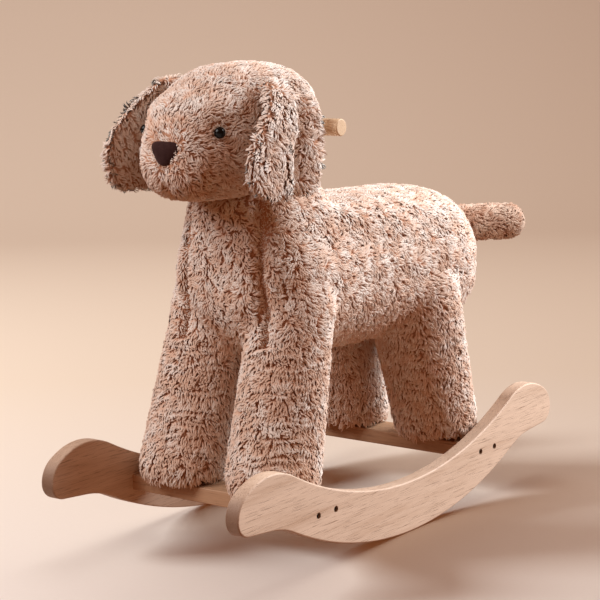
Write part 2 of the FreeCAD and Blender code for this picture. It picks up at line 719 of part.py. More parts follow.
def build():
    os.makedirs("parts", exist_ok=True)

    # Rockers, boards and their screws
    rocker = make_rocker()
    screws = rocker_screws()
    for name, side in SIDES:
        export("%s_rocker" % name, mirrored(rocker, side))
        group = [mirrored(screw, side) for screw in screws]
        export("%s_rocker_screws" % name, Part.makeCompound(group))
    for name, board_y in board_places():
        export("%s_cross_board" % name, make_cross_board(board_y))

    # Timber frame
    feet = leg_foot_points()
    leg_sections = (FRONT_LEG_SECTIONS, REAR_LEG_SECTIONS)
    tops = [post_top_point(sections) for sections in leg_sections]
    bolts, inserts, seat_screws, post_envelopes = [], [], [], []
    for end, foot, top in zip(("front", "rear"), feet, tops):
        post = make_leg_post(foot, top)
        for name, side in SIDES:
            export("%s_%s_leg_post" % (end, name), mirrored(post, side))
            bolts.append(mirrored(make_leg_bolt(foot), side))
            inserts.append(mirrored(make_leg_insert(foot), side))
            seat_screws.append(mirrored(seat_screw(top), side))
            post_envelopes.append(mirrored(post_solid(foot, top, POST_SIDE), side))
    neck_screws = [neck_screw(point) for point in neck_screw_points()]
    seat_board = make_seat_board(tops, seat_screws + neck_screws)
    neck_post = make_neck_post()
    handle = make_handle()
    lock_screw = handle_screw()
    handle_hole = handle_rod(HANDLE_DIAMETER / 2 + HOLE_CLEARANCE)
    export("leg_bolts", Part.makeCompound(bolts))
    export("leg_bolt_inserts", Part.makeCompound(inserts))
    export("seat_board", seat_board)
    export("seat_board_screws", Part.makeCompound(seat_screws))
    export("neck_post_screws", Part.makeCompound(neck_screws))
    bored_post = neck_post.cut(Part.makeCompound([handle_hole, lock_screw] + neck_screws))
    export("neck_post", bored_post)
    export("handle", handle.cut(lock_screw))
    export("handle_lock_screw", lock_screw)

    # Plush covers and stuffing
    torso = torso_solid(0)
    torso_room = torso_solid(COVER_THICKNESS)
    head = head_solid(0)
    head_room = head_solid(COVER_THICKNESS)
    neck = neck_solid(0).cut(head)
    neck_room = neck_solid(COVER_THICKNESS).cut(head)
    frame_parts = post_envelopes + [seat_board, neck_post] + seat_screws + neck_screws
    body_outer = torso.fuse(neck)
    body_room = torso_room.fuse(neck_room)
    posts = Part.makeCompound(post_envelopes + [neck_post])
    skin = body_outer.cut(body_room).cut(posts)
    chest_half = chest_half_space(body_outer.BoundBox)
    export("chest_cover", skin.common(chest_half))
    export("body_cover", skin.cut(chest_half))
    export("body_stuffing", body_room.cut(frame_parts))
    for end, sections, foot, top in zip(("front", "rear"), leg_sections, feet, tops):
        post = post_solid(foot, top, POST_SIDE)
        for name, side in SIDES:
            outer = mirrored(leg_solid(sections, 0), side)
            outer = outer.cut([body_outer, mirrored(post, side)])
            room = mirrored(leg_solid(sections, COVER_THICKNESS), side)
            export("%s_%s_leg_cover" % (end, name), outer.cut(room))
            export("%s_%s_leg_stuffing" % (end, name), outer.common(room))

    # Head trim, then the head that fits round it
    nose = make_nose()
    eye_point = eye_seat(head)
    rim_point = eye_point - eye_axis() * EYE_SINK
    eyes, washers = [], []
    for name, side in SIDES:
        eyes.append(mirrored(make_eye(rim_point, eye_axis()), side))
        washers.append(mirrored(make_eye_washer(eye_point, eye_axis()), side))
        export("%s_eye" % name, eyes[-1])
    export("eye_washers", Part.makeCompound(washers))
    export("nose", nose)
    head_fittings = Part.makeCompound([handle_hole, neck_post, nose] + eyes + washers)
    export("head_cover", head.cut(head_room).cut(head_fittings))
    export("head_stuffing", head_room.cut(head_fittings).cut(lock_screw))

    # Pieces that swing
    ear = make_ear()
    for name, side in SIDES:
        export("%s_ear" % name, mirrored(ear, side))
    export("tail", make_tail())


build()
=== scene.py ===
import logging
import math
from dataclasses import dataclass, field
from enum import Enum
from typing import Callable, Sequence

import bmesh
import bpy
import numpy as np
from mathutils import Matrix, Vector
from mathutils.bvhtree import BVHTree
from mathutils.kdtree import KDTree


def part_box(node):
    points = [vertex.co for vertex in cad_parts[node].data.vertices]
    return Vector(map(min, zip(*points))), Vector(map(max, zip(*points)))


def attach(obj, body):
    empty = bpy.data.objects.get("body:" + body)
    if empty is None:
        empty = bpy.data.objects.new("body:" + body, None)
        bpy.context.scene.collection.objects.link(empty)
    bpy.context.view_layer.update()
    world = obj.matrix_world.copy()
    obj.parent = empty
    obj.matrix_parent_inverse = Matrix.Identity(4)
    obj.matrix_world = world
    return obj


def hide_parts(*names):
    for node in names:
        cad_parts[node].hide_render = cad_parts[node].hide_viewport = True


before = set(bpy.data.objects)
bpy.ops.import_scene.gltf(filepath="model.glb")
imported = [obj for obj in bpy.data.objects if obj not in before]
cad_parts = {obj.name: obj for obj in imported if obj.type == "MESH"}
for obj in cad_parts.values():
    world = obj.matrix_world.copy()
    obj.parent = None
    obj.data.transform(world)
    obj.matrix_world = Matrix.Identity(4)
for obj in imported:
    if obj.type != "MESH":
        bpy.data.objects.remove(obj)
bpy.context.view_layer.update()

LOG = logging.getLogger("puppy_rocker")
MM = 0.001

Triple = tuple[float, float, float]
Colour = tuple[float, float, float]
# A rule of the coat: root points and their normals in, one value or vector a root out.
RootField = Callable[[np.ndarray, np.ndarray], np.ndarray]
# A rule that moves points of the coat out of hard neighbours.
Fence = Callable[[np.ndarray], np.ndarray]

ROOT_BODY = "rocker_and_puppy"
EAR_BODIES = {"left": "left_ear_flap", "right": "right_ear_flap"}
TAIL_BODY = "tail_roll"


# ------------------------------------------------------------------ small helpers


class Side(Enum):
    """The puppy's own left and right."""

    LEFT = 1.0
    RIGHT = -1.0

    @property
    def word(self) -> str:
        """The side's name as node names spell it."""
        return self.name.lower()


class Grain(Enum):
    """The axis that a piece of timber was cut along."""

    ALONG_X = (1.0, 0.0, 0.0)
    ALONG_Y = (0.0, 1.0, 0.0)
    ALONG_Z = (0.0, 0.0, 1.0)


@dataclass(frozen=True)
class Box:
    """An axis-aligned box in the row frame, with places inside it by share."""

    low: Vector
    high: Vector

    @classmethod
    def of(cls, node: str) -> "Box":
        """The box of a CAD node at rest."""
        low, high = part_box(node)
        return cls(Vector(low), Vector(high))

    @property
    def middle(self) -> Vector:
        """The box's middle."""
        return (self.low + self.high) / 2

    @property
    def half(self) -> Vector:
        """Half the box's size along each axis."""
        return (self.high - self.low) / 2

    def at(self, x: float, y: float, z: float) -> Vector:
        """A point by shares, where -1 is the low face and +1 the high one.

        Args:
            x: share along x.
            y: share along y.
            z: share along z.

        Returns:
            The point.
        """
        half = self.half
        return self.middle + Vector((x * half.x, y * half.y, z * half.z))


def unit_rows(rows: np.ndarray) -> np.ndarray:
    """Each row scaled to length one.

    Args:
        rows: an array of vectors.

    Returns:
        The same directions with unit length.
    """
    return rows / np.maximum(np.linalg.norm(rows, axis=1, keepdims=True), 1e-12)


def smooth_step(low: float, high: float, value: np.ndarray) -> np.ndarray:
    """A soft ramp from 0 at low to 1 at high.

    Args:
        low: where the ramp starts.
        high: where it ends.
        value: the values to ramp.

    Returns:
        The shares.
    """
    share = np.clip((value - low) / (high - low), 0.0, 1.0)
    return share * share * (3.0 - 2.0 * share)


def waves(points: np.ndarray, size: float, seed: int) -> np.ndarray:
    """Smooth uneven waves through space, mostly between -1 and 1.

    Args:
        points: places, one row each.
        size: about one wavelength.
        seed: fixes the waves.

    Returns:
        One value per point.
    """
    ripples, usual_sum = 7, 2.6
    random = np.random.default_rng(seed)
    total = np.zeros(len(points))
    for _ in range(ripples):
        way = random.normal(size=3)
        way *= 2 * math.pi / size / np.linalg.norm(way) * random.uniform(0.6, 1.5)
        total += np.sin(points @ way + random.uniform(0, 2 * math.pi))
    return total / usual_sum


def along_skin(rows: np.ndarray, normals: np.ndarray) -> np.ndarray:
    """The part of each row that lies along the skin."""
    return rows - normals * np.sum(rows * normals, axis=1, keepdims=True)


def new_object(name: str, mesh: bpy.types.Mesh) -> bpy.types.Object:
    """Links a mesh into the scene as an object.

    Args:
        name: the object's name.
        mesh: its mesh.

    Returns:
        The object.
    """
    piece = bpy.data.objects.new(name, mesh)
    bpy.context.scene.collection.objects.link(piece)
    return piece


def mesh_from_arrays(name: str, points: np.ndarray, quads: np.ndarray) -> bpy.types.Mesh:
    """A mesh of quads, written in bulk.

    Args:
        name: the mesh's name.
        points: vertex positions, one row each.
        quads: four vertex numbers per row.

    Returns:
        The new mesh, shaded smooth.
    """
    mesh = bpy.data.meshes.new(name)
    mesh.vertices.add(len(points))
    mesh.vertices.foreach_set("co", points.astype(np.float32).ravel())
    mesh.loops.add(quads.size)
    mesh.loops.foreach_set("vertex_index", quads.astype(np.int32).ravel())
    mesh.polygons.add(len(quads))
    mesh.polygons.foreach_set("loop_start", np.arange(0, quads.size, 4, dtype=np.int32))
    mesh.polygons.foreach_set("use_smooth", np.ones(len(quads), dtype=bool))
    mesh.update(calc_edges=True)
    return mesh


# ------------------------------------------------------------------ finishes


class Recipe:
    """Short-hand for laying down the nodes of one material."""

    def __init__(self, name: str) -> None:
        """Starts a node material with its principled shader.

        Args:
            name: the material's name.
        """
        self.material = bpy.data.materials.new(name)
        self.material.use_nodes = True
        self.tree = self.material.node_tree
        self.shader = self.tree.nodes["Principled BSDF"]

    def add(self, kind: str, inputs: dict | None = None, **settings: object) -> bpy.types.Node:
        """Adds a node.

        Args:
            kind: the node's type, without its ShaderNode prefix.
            inputs: values or output sockets, by input name or number.
            settings: the node's own properties.

        Returns:
            The node.
        """
        node = self.tree.nodes.new("ShaderNode" + kind)
        for key, value in settings.items():
            setattr(node, key, value)
        for key, value in (inputs or {}).items():
            self.feed(node.inputs[key], value)
        return node

    def feed(self, socket: bpy.types.NodeSocket, value: object) -> None:
        """Links an output to a socket, or sets the socket's own value.

        Args:
            socket: the input to feed.
            value: an output socket or a plain value.
        """
        if isinstance(value, bpy.types.NodeSocket):
            self.tree.links.new(value, socket)
        elif isinstance(value, tuple) and len(value) == 3 and socket.type == "RGBA":
            socket.default_value = (*value, 1.0)
        else:
            socket.default_value = value

    def maths(self, operation: str, *values: object) -> bpy.types.NodeSocket:
        """A Math node's result."""
        node = self.add("Math", dict(enumerate(values)), operation=operation)
        return node.outputs[0]

    def ramp(self, value: object, *stops: tuple[float, Colour]) -> bpy.types.NodeSocket:
        """A colour ramp's result.

        Args:
            value: the socket that drives the ramp.
            stops: pairs of position and colour, in order.

        Returns:
            The colour output.
        """
        node = self.add("ValToRGB", {0: value})
        elements = node.color_ramp.elements
        while len(elements) < len(stops):
            elements.new(1.0)
        for element, (position, colour) in zip(elements, stops):
            element.position = position
            element.color = (*colour, 1.0)
        return node.outputs["Color"]

    def spread(self, value: object, low: float, high: float,
               to_low: float = 0.0, to_high: float = 1.0) -> bpy.types.NodeSocket:
        """A clamped Map Range of a value."""
        node = self.add("MapRange", {0: value, 1: low, 2: high, 3: to_low, 4: to_high})
        return node.outputs[0]

    def mix(self, share: object, first: object, second: object,
            blend: str = "MIX") -> bpy.types.NodeSocket:
        """A colour mix's result.

        Args:
            share: how much of the second colour.
            first: the first colour.
            second: the second colour.
            blend: the way of mixing.

        Returns:
            The colour output.
        """
        node = self.add("Mix", data_type="RGBA", blend_type=blend)
        self.feed(node.inputs[0], share)
        self.feed(node.inputs[6], first)
        self.feed(node.inputs[7], second)
        return node.outputs[2]

    def noise(self, vector: object, scale: float, detail: float = 4.0,
              roughness: float = 0.5, distortion: float = 0.0) -> bpy.types.NodeSocket:
        """A noise texture's value."""
        node = self.add("TexNoise", {"Vector": vector, "Scale": scale, "Detail": detail,
                                     "Roughness": roughness, "Distortion": distortion})
        return node.outputs[0]

    def coordinates(self, stretch: Triple = (1.0, 1.0, 1.0),
                    offset: Triple = (0.0, 0.0, 0.0)) -> bpy.types.NodeSocket:
        """Object coordinates in metres, scaled along each axis.

        Args:
            stretch: scale along each axis.
            offset: shift along each axis.

        Returns:
            The vector output.
        """
        source = self.add("TexCoord")
        mapping = self.add("Mapping", {"Vector": source.outputs["Object"],
                                       "Scale": stretch, "Location": offset})
        return mapping.outputs[0]

    def bump(self, height: object, strength: float, distance: float) -> None:
        """Feeds a bump of a height to the shader's normal."""
        node = self.add("Bump", {"Height": height, "Strength": strength,
                                 "Distance": distance})
        self.feed(self.shader.inputs["Normal"], node.outputs[0])

    def set(self, **values: object) -> None:
        """Feeds shader inputs, named with underscores for spaces."""
        for key, value in values.items():
            self.feed(self.shader.inputs[key.replace("_", " ")], value)


@dataclass(frozen=True)
class WoodFinish:
    """Planed wood with fine open pores, clear oiled; faces across the grain painted darker,
    partly end grain and partly painted shade.
    """

    name: str
    grain: Grain
    light: Colour
    dark: Colour
    pore: Colour
    end_grain_and_painted_shade: float = 0.45
    roughness: float = 0.5
    offset: Triple = (0.0, 0.0, 0.0)
    figure_scale: float = 26.0
    streak_scale: float = 420.0
    pore_scale: float = 1150.0
    figure_share: float = 0.62
    bump_height: float = 0.6 * MM

    def material(self) -> bpy.types.Material:
        """Builds the node material.

        Returns:
            The material.
        """
        recipe = Recipe(self.name)
        along = np.array(self.grain.value)
        slow = tuple(float(v) for v in 1.0 - 0.93 * along)
        slower = tuple(float(v) for v in 1.0 - 0.97 * along)
        figure = recipe.coordinates(slow, self.offset)
        streaks = recipe.coordinates(slower, self.offset)
        broad = recipe.noise(figure, self.figure_scale, 5.0, 0.55, 0.9)
        fine = recipe.noise(streaks, self.streak_scale, 6.0, 0.7, 0.3)
        pores = recipe.noise(streaks, self.pore_scale, 3.0, 0.6)
        tone = recipe.maths("ADD", recipe.maths("MULTIPLY", broad, self.figure_share),
                            recipe.maths("MULTIPLY", fine, 1.0 - self.figure_share))
        colour = recipe.ramp(tone, (0.34, self.dark), (0.52, self.light),
                             (0.68, tuple(min(1.0, c * 1.12) for c in self.light)))
        pore_share = recipe.spread(pores, 0.56, 0.70, 0.0, 0.75)
        colour = recipe.mix(pore_share, colour, self.pore)
        # end faces across the grain are painted darker: partly the end grain's own colour,
        # partly painted shade on ends that face away from the lamps
        facing = recipe.add("VectorMath", {0: recipe.add("NewGeometry").outputs["Normal"],
                                           1: self.grain.value}, operation="DOT_PRODUCT")
        end_share = recipe.maths("POWER", recipe.maths("ABSOLUTE", facing.outputs["Value"]), 2.0)
        end_colour = recipe.mix(1.0, colour, tuple(c * 0.8 for c in self.pore), "MULTIPLY")
        end_mix = recipe.mix(0.8, colour, end_colour)
        share = recipe.maths("MULTIPLY", end_share, self.end_grain_and_painted_shade)
        recipe.set(Base_Color=recipe.mix(share, colour, end_mix),
                   Roughness=recipe.spread(fine, 0.3, 0.7, self.roughness - 0.06,
                                           self.roughness + 0.12),
                   Specular_IOR_Level=0.35)
        recipe.bump(recipe.maths("SUBTRACT", fine, recipe.maths("MULTIPLY", pore_share, 0.8)),
                    0.35, self.bump_height)
        return recipe.material


@dataclass(frozen=True)
class FurFinish:
    """Curly pile: dark roots, warm middles and pale tips, mottled over the coat."""

    name: str
    root: Colour = (0.48, 0.20, 0.11)
    middle: Colour = (0.74, 0.41, 0.265)
    tip_warm: Colour = (0.82, 0.61, 0.48)
    tip_pale: Colour = (0.98, 0.92, 0.85)
    sheen_tint: Colour = (1.0, 0.8, 0.64)
    patch_scale: float = 44.0
    patch_weight: float = 1.8
    lock_weight: float = 0.5
    pale_from: float = 0.85
    pale_to: float = 1.38

    def material(self) -> bpy.types.Material:
        """Builds the node material, which reads each lock's own attributes.

        Returns:
            The material.
        """
        recipe = Recipe(self.name)
        along = recipe.add("Attribute", attribute_name="lock_along").outputs["Fac"]
        # lock_tone includes painted shade of partings and troughs; a lower tone gives warmer,
        # darker tips
        tone = recipe.add("Attribute", attribute_name="lock_tone").outputs["Fac"]
        place = recipe.coordinates()
        patch = recipe.noise(place, self.patch_scale, 3.0, 0.6)
        pale_share = recipe.maths("ADD", recipe.maths("MULTIPLY", patch, self.patch_weight),
                                  recipe.maths("MULTIPLY", tone, self.lock_weight))
        pale_share = recipe.spread(pale_share, self.pale_from, self.pale_to)
        tip = recipe.mix(pale_share, self.tip_warm, self.tip_pale)
        lower = recipe.mix(recipe.spread(along, 0.0, 0.30), self.root, self.middle)
        colour = recipe.mix(recipe.spread(along, 0.12, 0.60), lower, tip)
        recipe.set(Base_Color=colour, Roughness=0.9, Specular_IOR_Level=0.06,
                   Sheen_Weight=0.12, Sheen_Roughness=0.5, Sheen_Tint=self.sheen_tint)
        return recipe.material


@dataclass(frozen=True)
class SkinFinish:
    """Knitted backing and matted undercoat, seen between the locks."""

    name: str
    shade: Colour = (0.52, 0.25, 0.15)
    light: Colour = (0.76, 0.46, 0.31)
    mat_scale: float = 420.0
    patch_scale: float = 30.0
    mat_share: float = 0.7
    bump_height: float = 2.0 * MM

    def material(self) -> bpy.types.Material:
        """Builds the node material.

        Returns:
            The material.
        """
        recipe = Recipe(self.name)
        place = recipe.coordinates()
        mat = recipe.noise(place, self.mat_scale, 5.0, 0.7, 0.6)
        patch = recipe.noise(place, self.patch_scale, 3.0)
        mixed = recipe.maths("ADD", recipe.maths("MULTIPLY", mat, self.mat_share),
                             recipe.maths("MULTIPLY", patch, 1.0 - self.mat_share))
        recipe.set(Base_Color=recipe.ramp(mixed, (0.35, self.shade), (0.68, self.light)),
                   Roughness=0.95, Specular_IOR_Level=0.03)
        recipe.bump(mat, 0.8, self.bump_height)
        return recipe.material


@dataclass(frozen=True)
class ClothFinish:
    """Brushed dark cloth with a fine nap."""

    name: str
    base: Colour = (0.030, 0.012, 0.012)
    rubbed: Colour = (0.075, 0.036, 0.033)
    sheen_tint: Colour = (1.0, 0.75, 0.7)
    nap_scale: float = 1500.0
    cloud_scale: float = 90.0
    nap_share: float = 0.55
    bump_height: float = 0.5 * MM

    def material(self) -> bpy.types.Material:
        """Builds the node material.

        Returns:
            The material.
        """
        recipe = Recipe(self.name)
        place = recipe.coordinates()
        nap = recipe.noise(place, self.nap_scale, 4.0, 0.7)
        cloud = recipe.noise(place, self.cloud_scale, 3.0)
        mixed = recipe.maths("ADD", recipe.maths("MULTIPLY", nap, self.nap_share),
                             recipe.maths("MULTIPLY", cloud, 1.0 - self.nap_share))
        recipe.set(Base_Color=recipe.ramp(mixed, (0.38, self.base), (0.70, self.rubbed)),
                   Roughness=0.88, Specular_IOR_Level=0.12, Sheen_Weight=0.08,
                   Sheen_Roughness=0.35, Sheen_Tint=self.sheen_tint)
        recipe.bump(nap, 0.6, self.bump_height)
        return recipe.material


@dataclass(frozen=True)
class HardFinish:
    """Metal or moulded plastic with fine handling marks."""

    name: str
    base: Colour
    worn: Colour
    roughness: float
    metallic: float = 0.0
    gloss: float = 0.5
    mark_scale: float = 900.0
    bump_height: float = 0.2 * MM

    def material(self) -> bpy.types.Material:
        """Builds the node material.

        Returns:
            The material.
        """
        recipe = Recipe(self.name)
        place = recipe.coordinates()
        marks = recipe.noise(place, self.mark_scale, 6.0, 0.7, 0.4)
        recipe.set(Base_Color=recipe.ramp(marks, (0.45, self.base), (0.75, self.worn)),
                   Roughness=recipe.spread(marks, 0.3, 0.75, self.roughness * 0.8,
                                           self.roughness * 1.35),
                   Metallic=self.metallic, Specular_IOR_Level=self.gloss)
        recipe.bump(marks, 0.08, self.bump_height)
        return recipe.material


# ------------------------------------------------------------------ skins


@dataclass(frozen=True)
class Swell:
    """A soft rise, or a hollow if it is negative, worked into a skin.

    A paired one is made on both sides, and any other one only where it is.
    """

    centre: Vector
    reach: Triple
    rise: float
    paired: bool = True

    def shift(self, points: np.ndarray) -> np.ndarray:
        """How far each point moves along its normal.

        Args:
            points: places on the skin, one row each.

        Returns:
            One distance per point.
        """
        total = np.zeros(len(points))
        sides = (1.0, -1.0) if self.paired else (1.0,)
        for side in sides:
            centre = np.array((self.centre.x * side, self.centre.y, self.centre.z))
            away = (points - centre) / np.array(self.reach)
            total += self.rise * np.exp(-np.sum(away * away, axis=1))
        return total


class Skin:
    """A closed soft surface that fur grows on."""

    def __init__(self, piece: bpy.types.Object) -> None:
        """Reads the surface of a mesh object.

        Args:
            piece: the object; it stays the skin's own.
        """
        self.piece = piece
        self.read()

    def read(self) -> None:
        """Takes vertices, triangles and normals from the mesh as it is now."""
        mesh = self.piece.data
        mesh.calc_loop_triangles()
        self.points = np.empty(len(mesh.vertices) * 3, dtype=np.float32)
        mesh.vertices.foreach_get("co", self.points)
        self.points = self.points.reshape(-1, 3).astype(float)
        self.normals = np.empty(len(mesh.vertices) * 3, dtype=np.float32)
        mesh.vertex_normals.foreach_get("vector", self.normals)
        self.normals = self.normals.reshape(-1, 3).astype(float)
        self.triangles = np.empty(len(mesh.loop_triangles) * 3, dtype=np.int32)
        mesh.loop_triangles.foreach_get("vertices", self.triangles)
        self.triangles = self.triangles.reshape(-1, 3)

    def write(self) -> None:
        """Puts changed points back into the mesh."""
        self.piece.data.vertices.foreach_set("co", self.points.astype(np.float32).ravel())
        self.piece.data.update()
        self.read()

    def swell(self, swells: Sequence[Swell]) -> None:
        """Works the rises and hollows into the surface."""
        for swell in swells:
            self.points += self.normals * swell.shift(self.points)[:, None]
            self.write()

    def inset(self, depth: float) -> None:
        """Moves the whole surface in along its normals."""
        self.points -= self.normals * depth
        self.write()

    def smooth(self, passes: int) -> None:
        """Evens out the surface.

        Args:
            passes: how many times each vertex moves towards its neighbours.
        """
        form = bmesh.new()
        form.from_mesh(self.piece.data)
        for _ in range(passes):
            bmesh.ops.smooth_vert(form, verts=form.verts, factor=0.5, use_axis_x=True,
                                  use_axis_y=True, use_axis_z=True)
        form.to_mesh(self.piece.data)
        form.free()
        self.read()

    def tree(self) -> BVHTree:
        """A search tree of the surface."""
        return BVHTree.FromPolygons([Vector(p) for p in self.points],
                                    [tuple(t) for t in self.triangles.tolist()])


@dataclass
class SkinMaker:
    """Makes one smooth closed surface round groups of points."""

    voxel: float
    smooth_passes: int

    def hull(self, form: bmesh.types.BMesh, points: Sequence[Vector]) -> None:
        """Adds the tight convex form round some points.

        Args:
            form: what the hull is added to.
            points: what it goes round.
        """
        part = bmesh.new()
        for point in points:
            part.verts.new(point)
        result = bmesh.ops.convex_hull(part, input=part.verts)
        inner = [g for g in result["geom_interior"] if isinstance(g, bmesh.types.BMVert)]
        bmesh.ops.delete(part, geom=list(set(inner)), context="VERTS")
        holder = bpy.data.meshes.new("hull")
        part.to_mesh(holder)
        part.free()
        form.from_mesh(holder)
        bpy.data.meshes.remove(holder)

    def remesh(self, name: str, form: bmesh.types.BMesh) -> Skin:
        """Joins overlapping closed forms into one even surface.

        Args:
            name: the new piece's name.
            form: the closed forms; it is freed.

        Returns:
            The skin, smoothed.
        """
        mesh = bpy.data.meshes.new(name)
        form.to_mesh(mesh)
        form.free()
        piece = new_object(name, mesh)
        remesh = piece.modifiers.new("one_surface", "REMESH")
        remesh.mode = "VOXEL"
        remesh.voxel_size = self.voxel
        graph = bpy.context.evaluated_depsgraph_get()
        even = bpy.data.meshes.new_from_object(piece.evaluated_get(graph))
        piece.modifiers.clear()
        piece.data = even
        even.polygons.foreach_set("use_smooth", np.ones(len(even.polygons), dtype=bool))
        skin = Skin(piece)
        skin.smooth(self.smooth_passes)
        return skin


def torso_box() -> Box:
    """The box of the body and chest covers together.

    Returns:
        The box.
    """
    rear, front = Box.of("body_cover"), Box.of("chest_cover")
    low = Vector(map(min, rear.low, front.low))
    high = Vector(map(max, rear.high, front.high))
    return Box(low, high)


def node_points(node: str) -> list[Vector]:
    """The vertices of a CAD node."""
    return [vertex.co.copy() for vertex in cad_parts[node].data.vertices]


# ------------------------------------------------------------------ fur


@dataclass(frozen=True)
class FurCoat:
    """Short curly pile, as tapered locks drawn together into wisps.

    Attributes:
        spacing: about how far apart the roots are.
        length: how long a lock is.
        width: how wide a lock is where it is fullest.
        wisp: how far apart the middles of the wisps are.
        lie: how far a lock runs along the skin, as a share of its length.
        stand: how far a lock rises from the skin, as a share of its length.
        gather: how far the tips are drawn to their wisp's middle, as a share.
        curl: how far a lock waves to the side.
        swirl: how unevenly the wisps turn from the combing, in radians.
        flow: how far the combing itself wanders, in radians.
        flow_size: about one wavelength of that wandering.
        ruffle: how strongly the tips are drawn into level rows, 0 for none.
        ruffle_rise: the height from one row to the next.
        ruffle_size: about one wavelength of the rows' unevenness.
        parting: how far apart the small partings are.
        parting_reach: how far out a parting pushes the locks.
        softness: how far the locks take on the shading of the coat as a whole.
    """

    spacing: float = 2.05 * MM
    length: float = 9.6 * MM
    width: float = 2.5 * MM
    wisp: float = 7.0 * MM
    lie: float = 0.74
    stand: float = 0.45
    gather: float = 0.24
    curl: float = 1.3 * MM
    swirl: float = 0.5
    flow: float = 0.8
    flow_size: float = 26.0 * MM
    ruffle: float = 0.0
    ruffle_rise: float = 10.5 * MM
    ruffle_size: float = 30.0 * MM
    parting: float = 13.0 * MM
    parting_reach: float = 3.0 * MM
    parting_push: float = 0.3
    softness: float = 0.62
    root_depth: float = 0.6 * MM
    shortest: float = 0.05
    drawn_per_kept: float = 2.4
    cell_per_spacing: float = 1.18
    own_turn: float = 0.2
    wisp_sizes: tuple[float, float] = (0.78, 1.15)
    lock_sizes: tuple[float, float] = (0.85, 1.12)
    wisp_tone: float = 0.13
    lock_tone: float = 0.07
    # painted shade: how much darker the tone is painted at partings and in the rows' troughs
    parting_painted_shade: float = 0.3
    trough_painted_shade: float = 0.5
    bend: float = 1.9
    curl_turns: float = 4.2
    edge_rise: float = 0.5
    stations: int = 4
    band: float = 120.0 * MM
    map_margin: float = 0.08
    largest_piece: int = 10500

    def thin(self, points: np.ndarray, cell: float) -> np.ndarray:
        """Thins points out on a grid of cells, each of which keeps one.

        Args:
            points: places, one row each.
            cell: the grid's step.

        Returns:
            Numbers of the points that stay.
        """
        keys = np.floor(points / cell).astype(np.int64)
        _, first = np.unique(keys, axis=0, return_index=True)
        return np.sort(first)

    def scatter(self, skin: Skin, random: np.random.Generator) -> tuple[np.ndarray, np.ndarray]:
        """Root points spread evenly over a skin, with their normals.

        Args:
            skin: what the fur grows on.
            random: the source of random draws.

        Returns:
            The points and their normals.
        """
        corner = skin.points[skin.triangles]
        cross = np.cross(corner[:, 1] - corner[:, 0], corner[:, 2] - corner[:, 0])
        area = np.linalg.norm(cross, axis=1) / 2
        count = int(area.sum() / self.spacing ** 2 * self.drawn_per_kept)
        chosen = random.choice(len(area), size=count, p=area / area.sum())
        share = random.random((count, 2))
        flip = share.sum(axis=1) > 1
        share[flip] = 1 - share[flip]
        weights = np.stack([1 - share.sum(axis=1), share[:, 0], share[:, 1]], axis=1)
        points = np.einsum("ij,ijk->ik", weights, corner[chosen])
        normals = np.einsum("ij,ijk->ik", weights, skin.normals[skin.triangles[chosen]])
        kept = self.thin(points, self.spacing * self.cell_per_spacing)
        return points[kept], unit_rows(normals[kept])

    def nearest(self, points: np.ndarray, middles: np.ndarray) -> np.ndarray:
        """Finds the nearest middle of each point.

        Args:
            points: places, one row each.
            middles: what to look among, one row each.

        Returns:
            The number of the nearest middle, for each point.
        """
        tree = KDTree(len(middles))
        for number, middle in enumerate(middles):
            tree.insert(middle, number)
        tree.balance()
        return np.array([tree.find(point)[1] for point in points])

    def wisps(self, roots: np.ndarray) -> tuple[np.ndarray, np.ndarray]:
        """The wisp that each lock belongs to, and the wisps' middle points."""
        middles = roots[self.thin(roots, self.wisp)]
        return self.nearest(roots, middles), middles

    def partings(self, roots: np.ndarray) -> tuple[np.ndarray, np.ndarray]:
        """How each lock stands to the nearest small parting in the pile.

        Args:
            roots: root points.

        Returns:
            Vectors away from the nearest parting, and a share that is 1 at its middle.
        """
        middles = roots[self.thin(roots + self.parting / 3, self.parting)]
        away = roots - middles[self.nearest(roots, middles)]
        gap = np.linalg.norm(away, axis=1)
        return away + 1e-6, np.exp(-(gap / self.parting_reach) ** 2)

    def grow(self, name: str, skin: Skin, comb: RootField, trim: RootField, seed: int,
             fence: Fence | None = None) -> list[bpy.types.Object]:
        """Grows the coat on a skin.

        Args:
            name: start of the pieces' names.
            skin: what the fur grows on.
            comb: gives the combing direction at root points.
            trim: gives each root's length as a share, 0 for none.
            seed: fixes the random draws.
            fence: moves points back out of hard neighbours.

        Returns:
            The pieces, each of at most largest_piece locks. The pieces, each small
            enough to hand on whole.
        """
        random = np.random.default_rng(seed)
        roots, normals = self.scatter(skin, random)
        share = trim(roots, normals)
        kept = share > self.shortest
        roots, normals, share = roots[kept], normals[kept], share[kept]
        owner, middles = self.wisps(roots)
        paths, sideways, tone = self.paths(roots, normals, share, owner, middles, comb, random)
        if fence is not None:
            paths = fence(paths.reshape(-1, 3)).reshape(paths.shape)
        order = np.lexsort((roots[:, 2], np.round(roots[:, 1] / self.band)))
        pieces = []
        parts = math.ceil(len(order) / self.largest_piece)
        for number, chosen in enumerate(np.array_split(order, parts)):
            label = f"{name}_{number + 1:02d}" if parts > 1 else name
            pieces.append(self.piece(label, paths[chosen], sideways[chosen],
                                     normals[chosen], share[chosen], tone[chosen]))
        LOG.info("%s: %d locks in %d pieces", name, len(roots), parts)
        return pieces

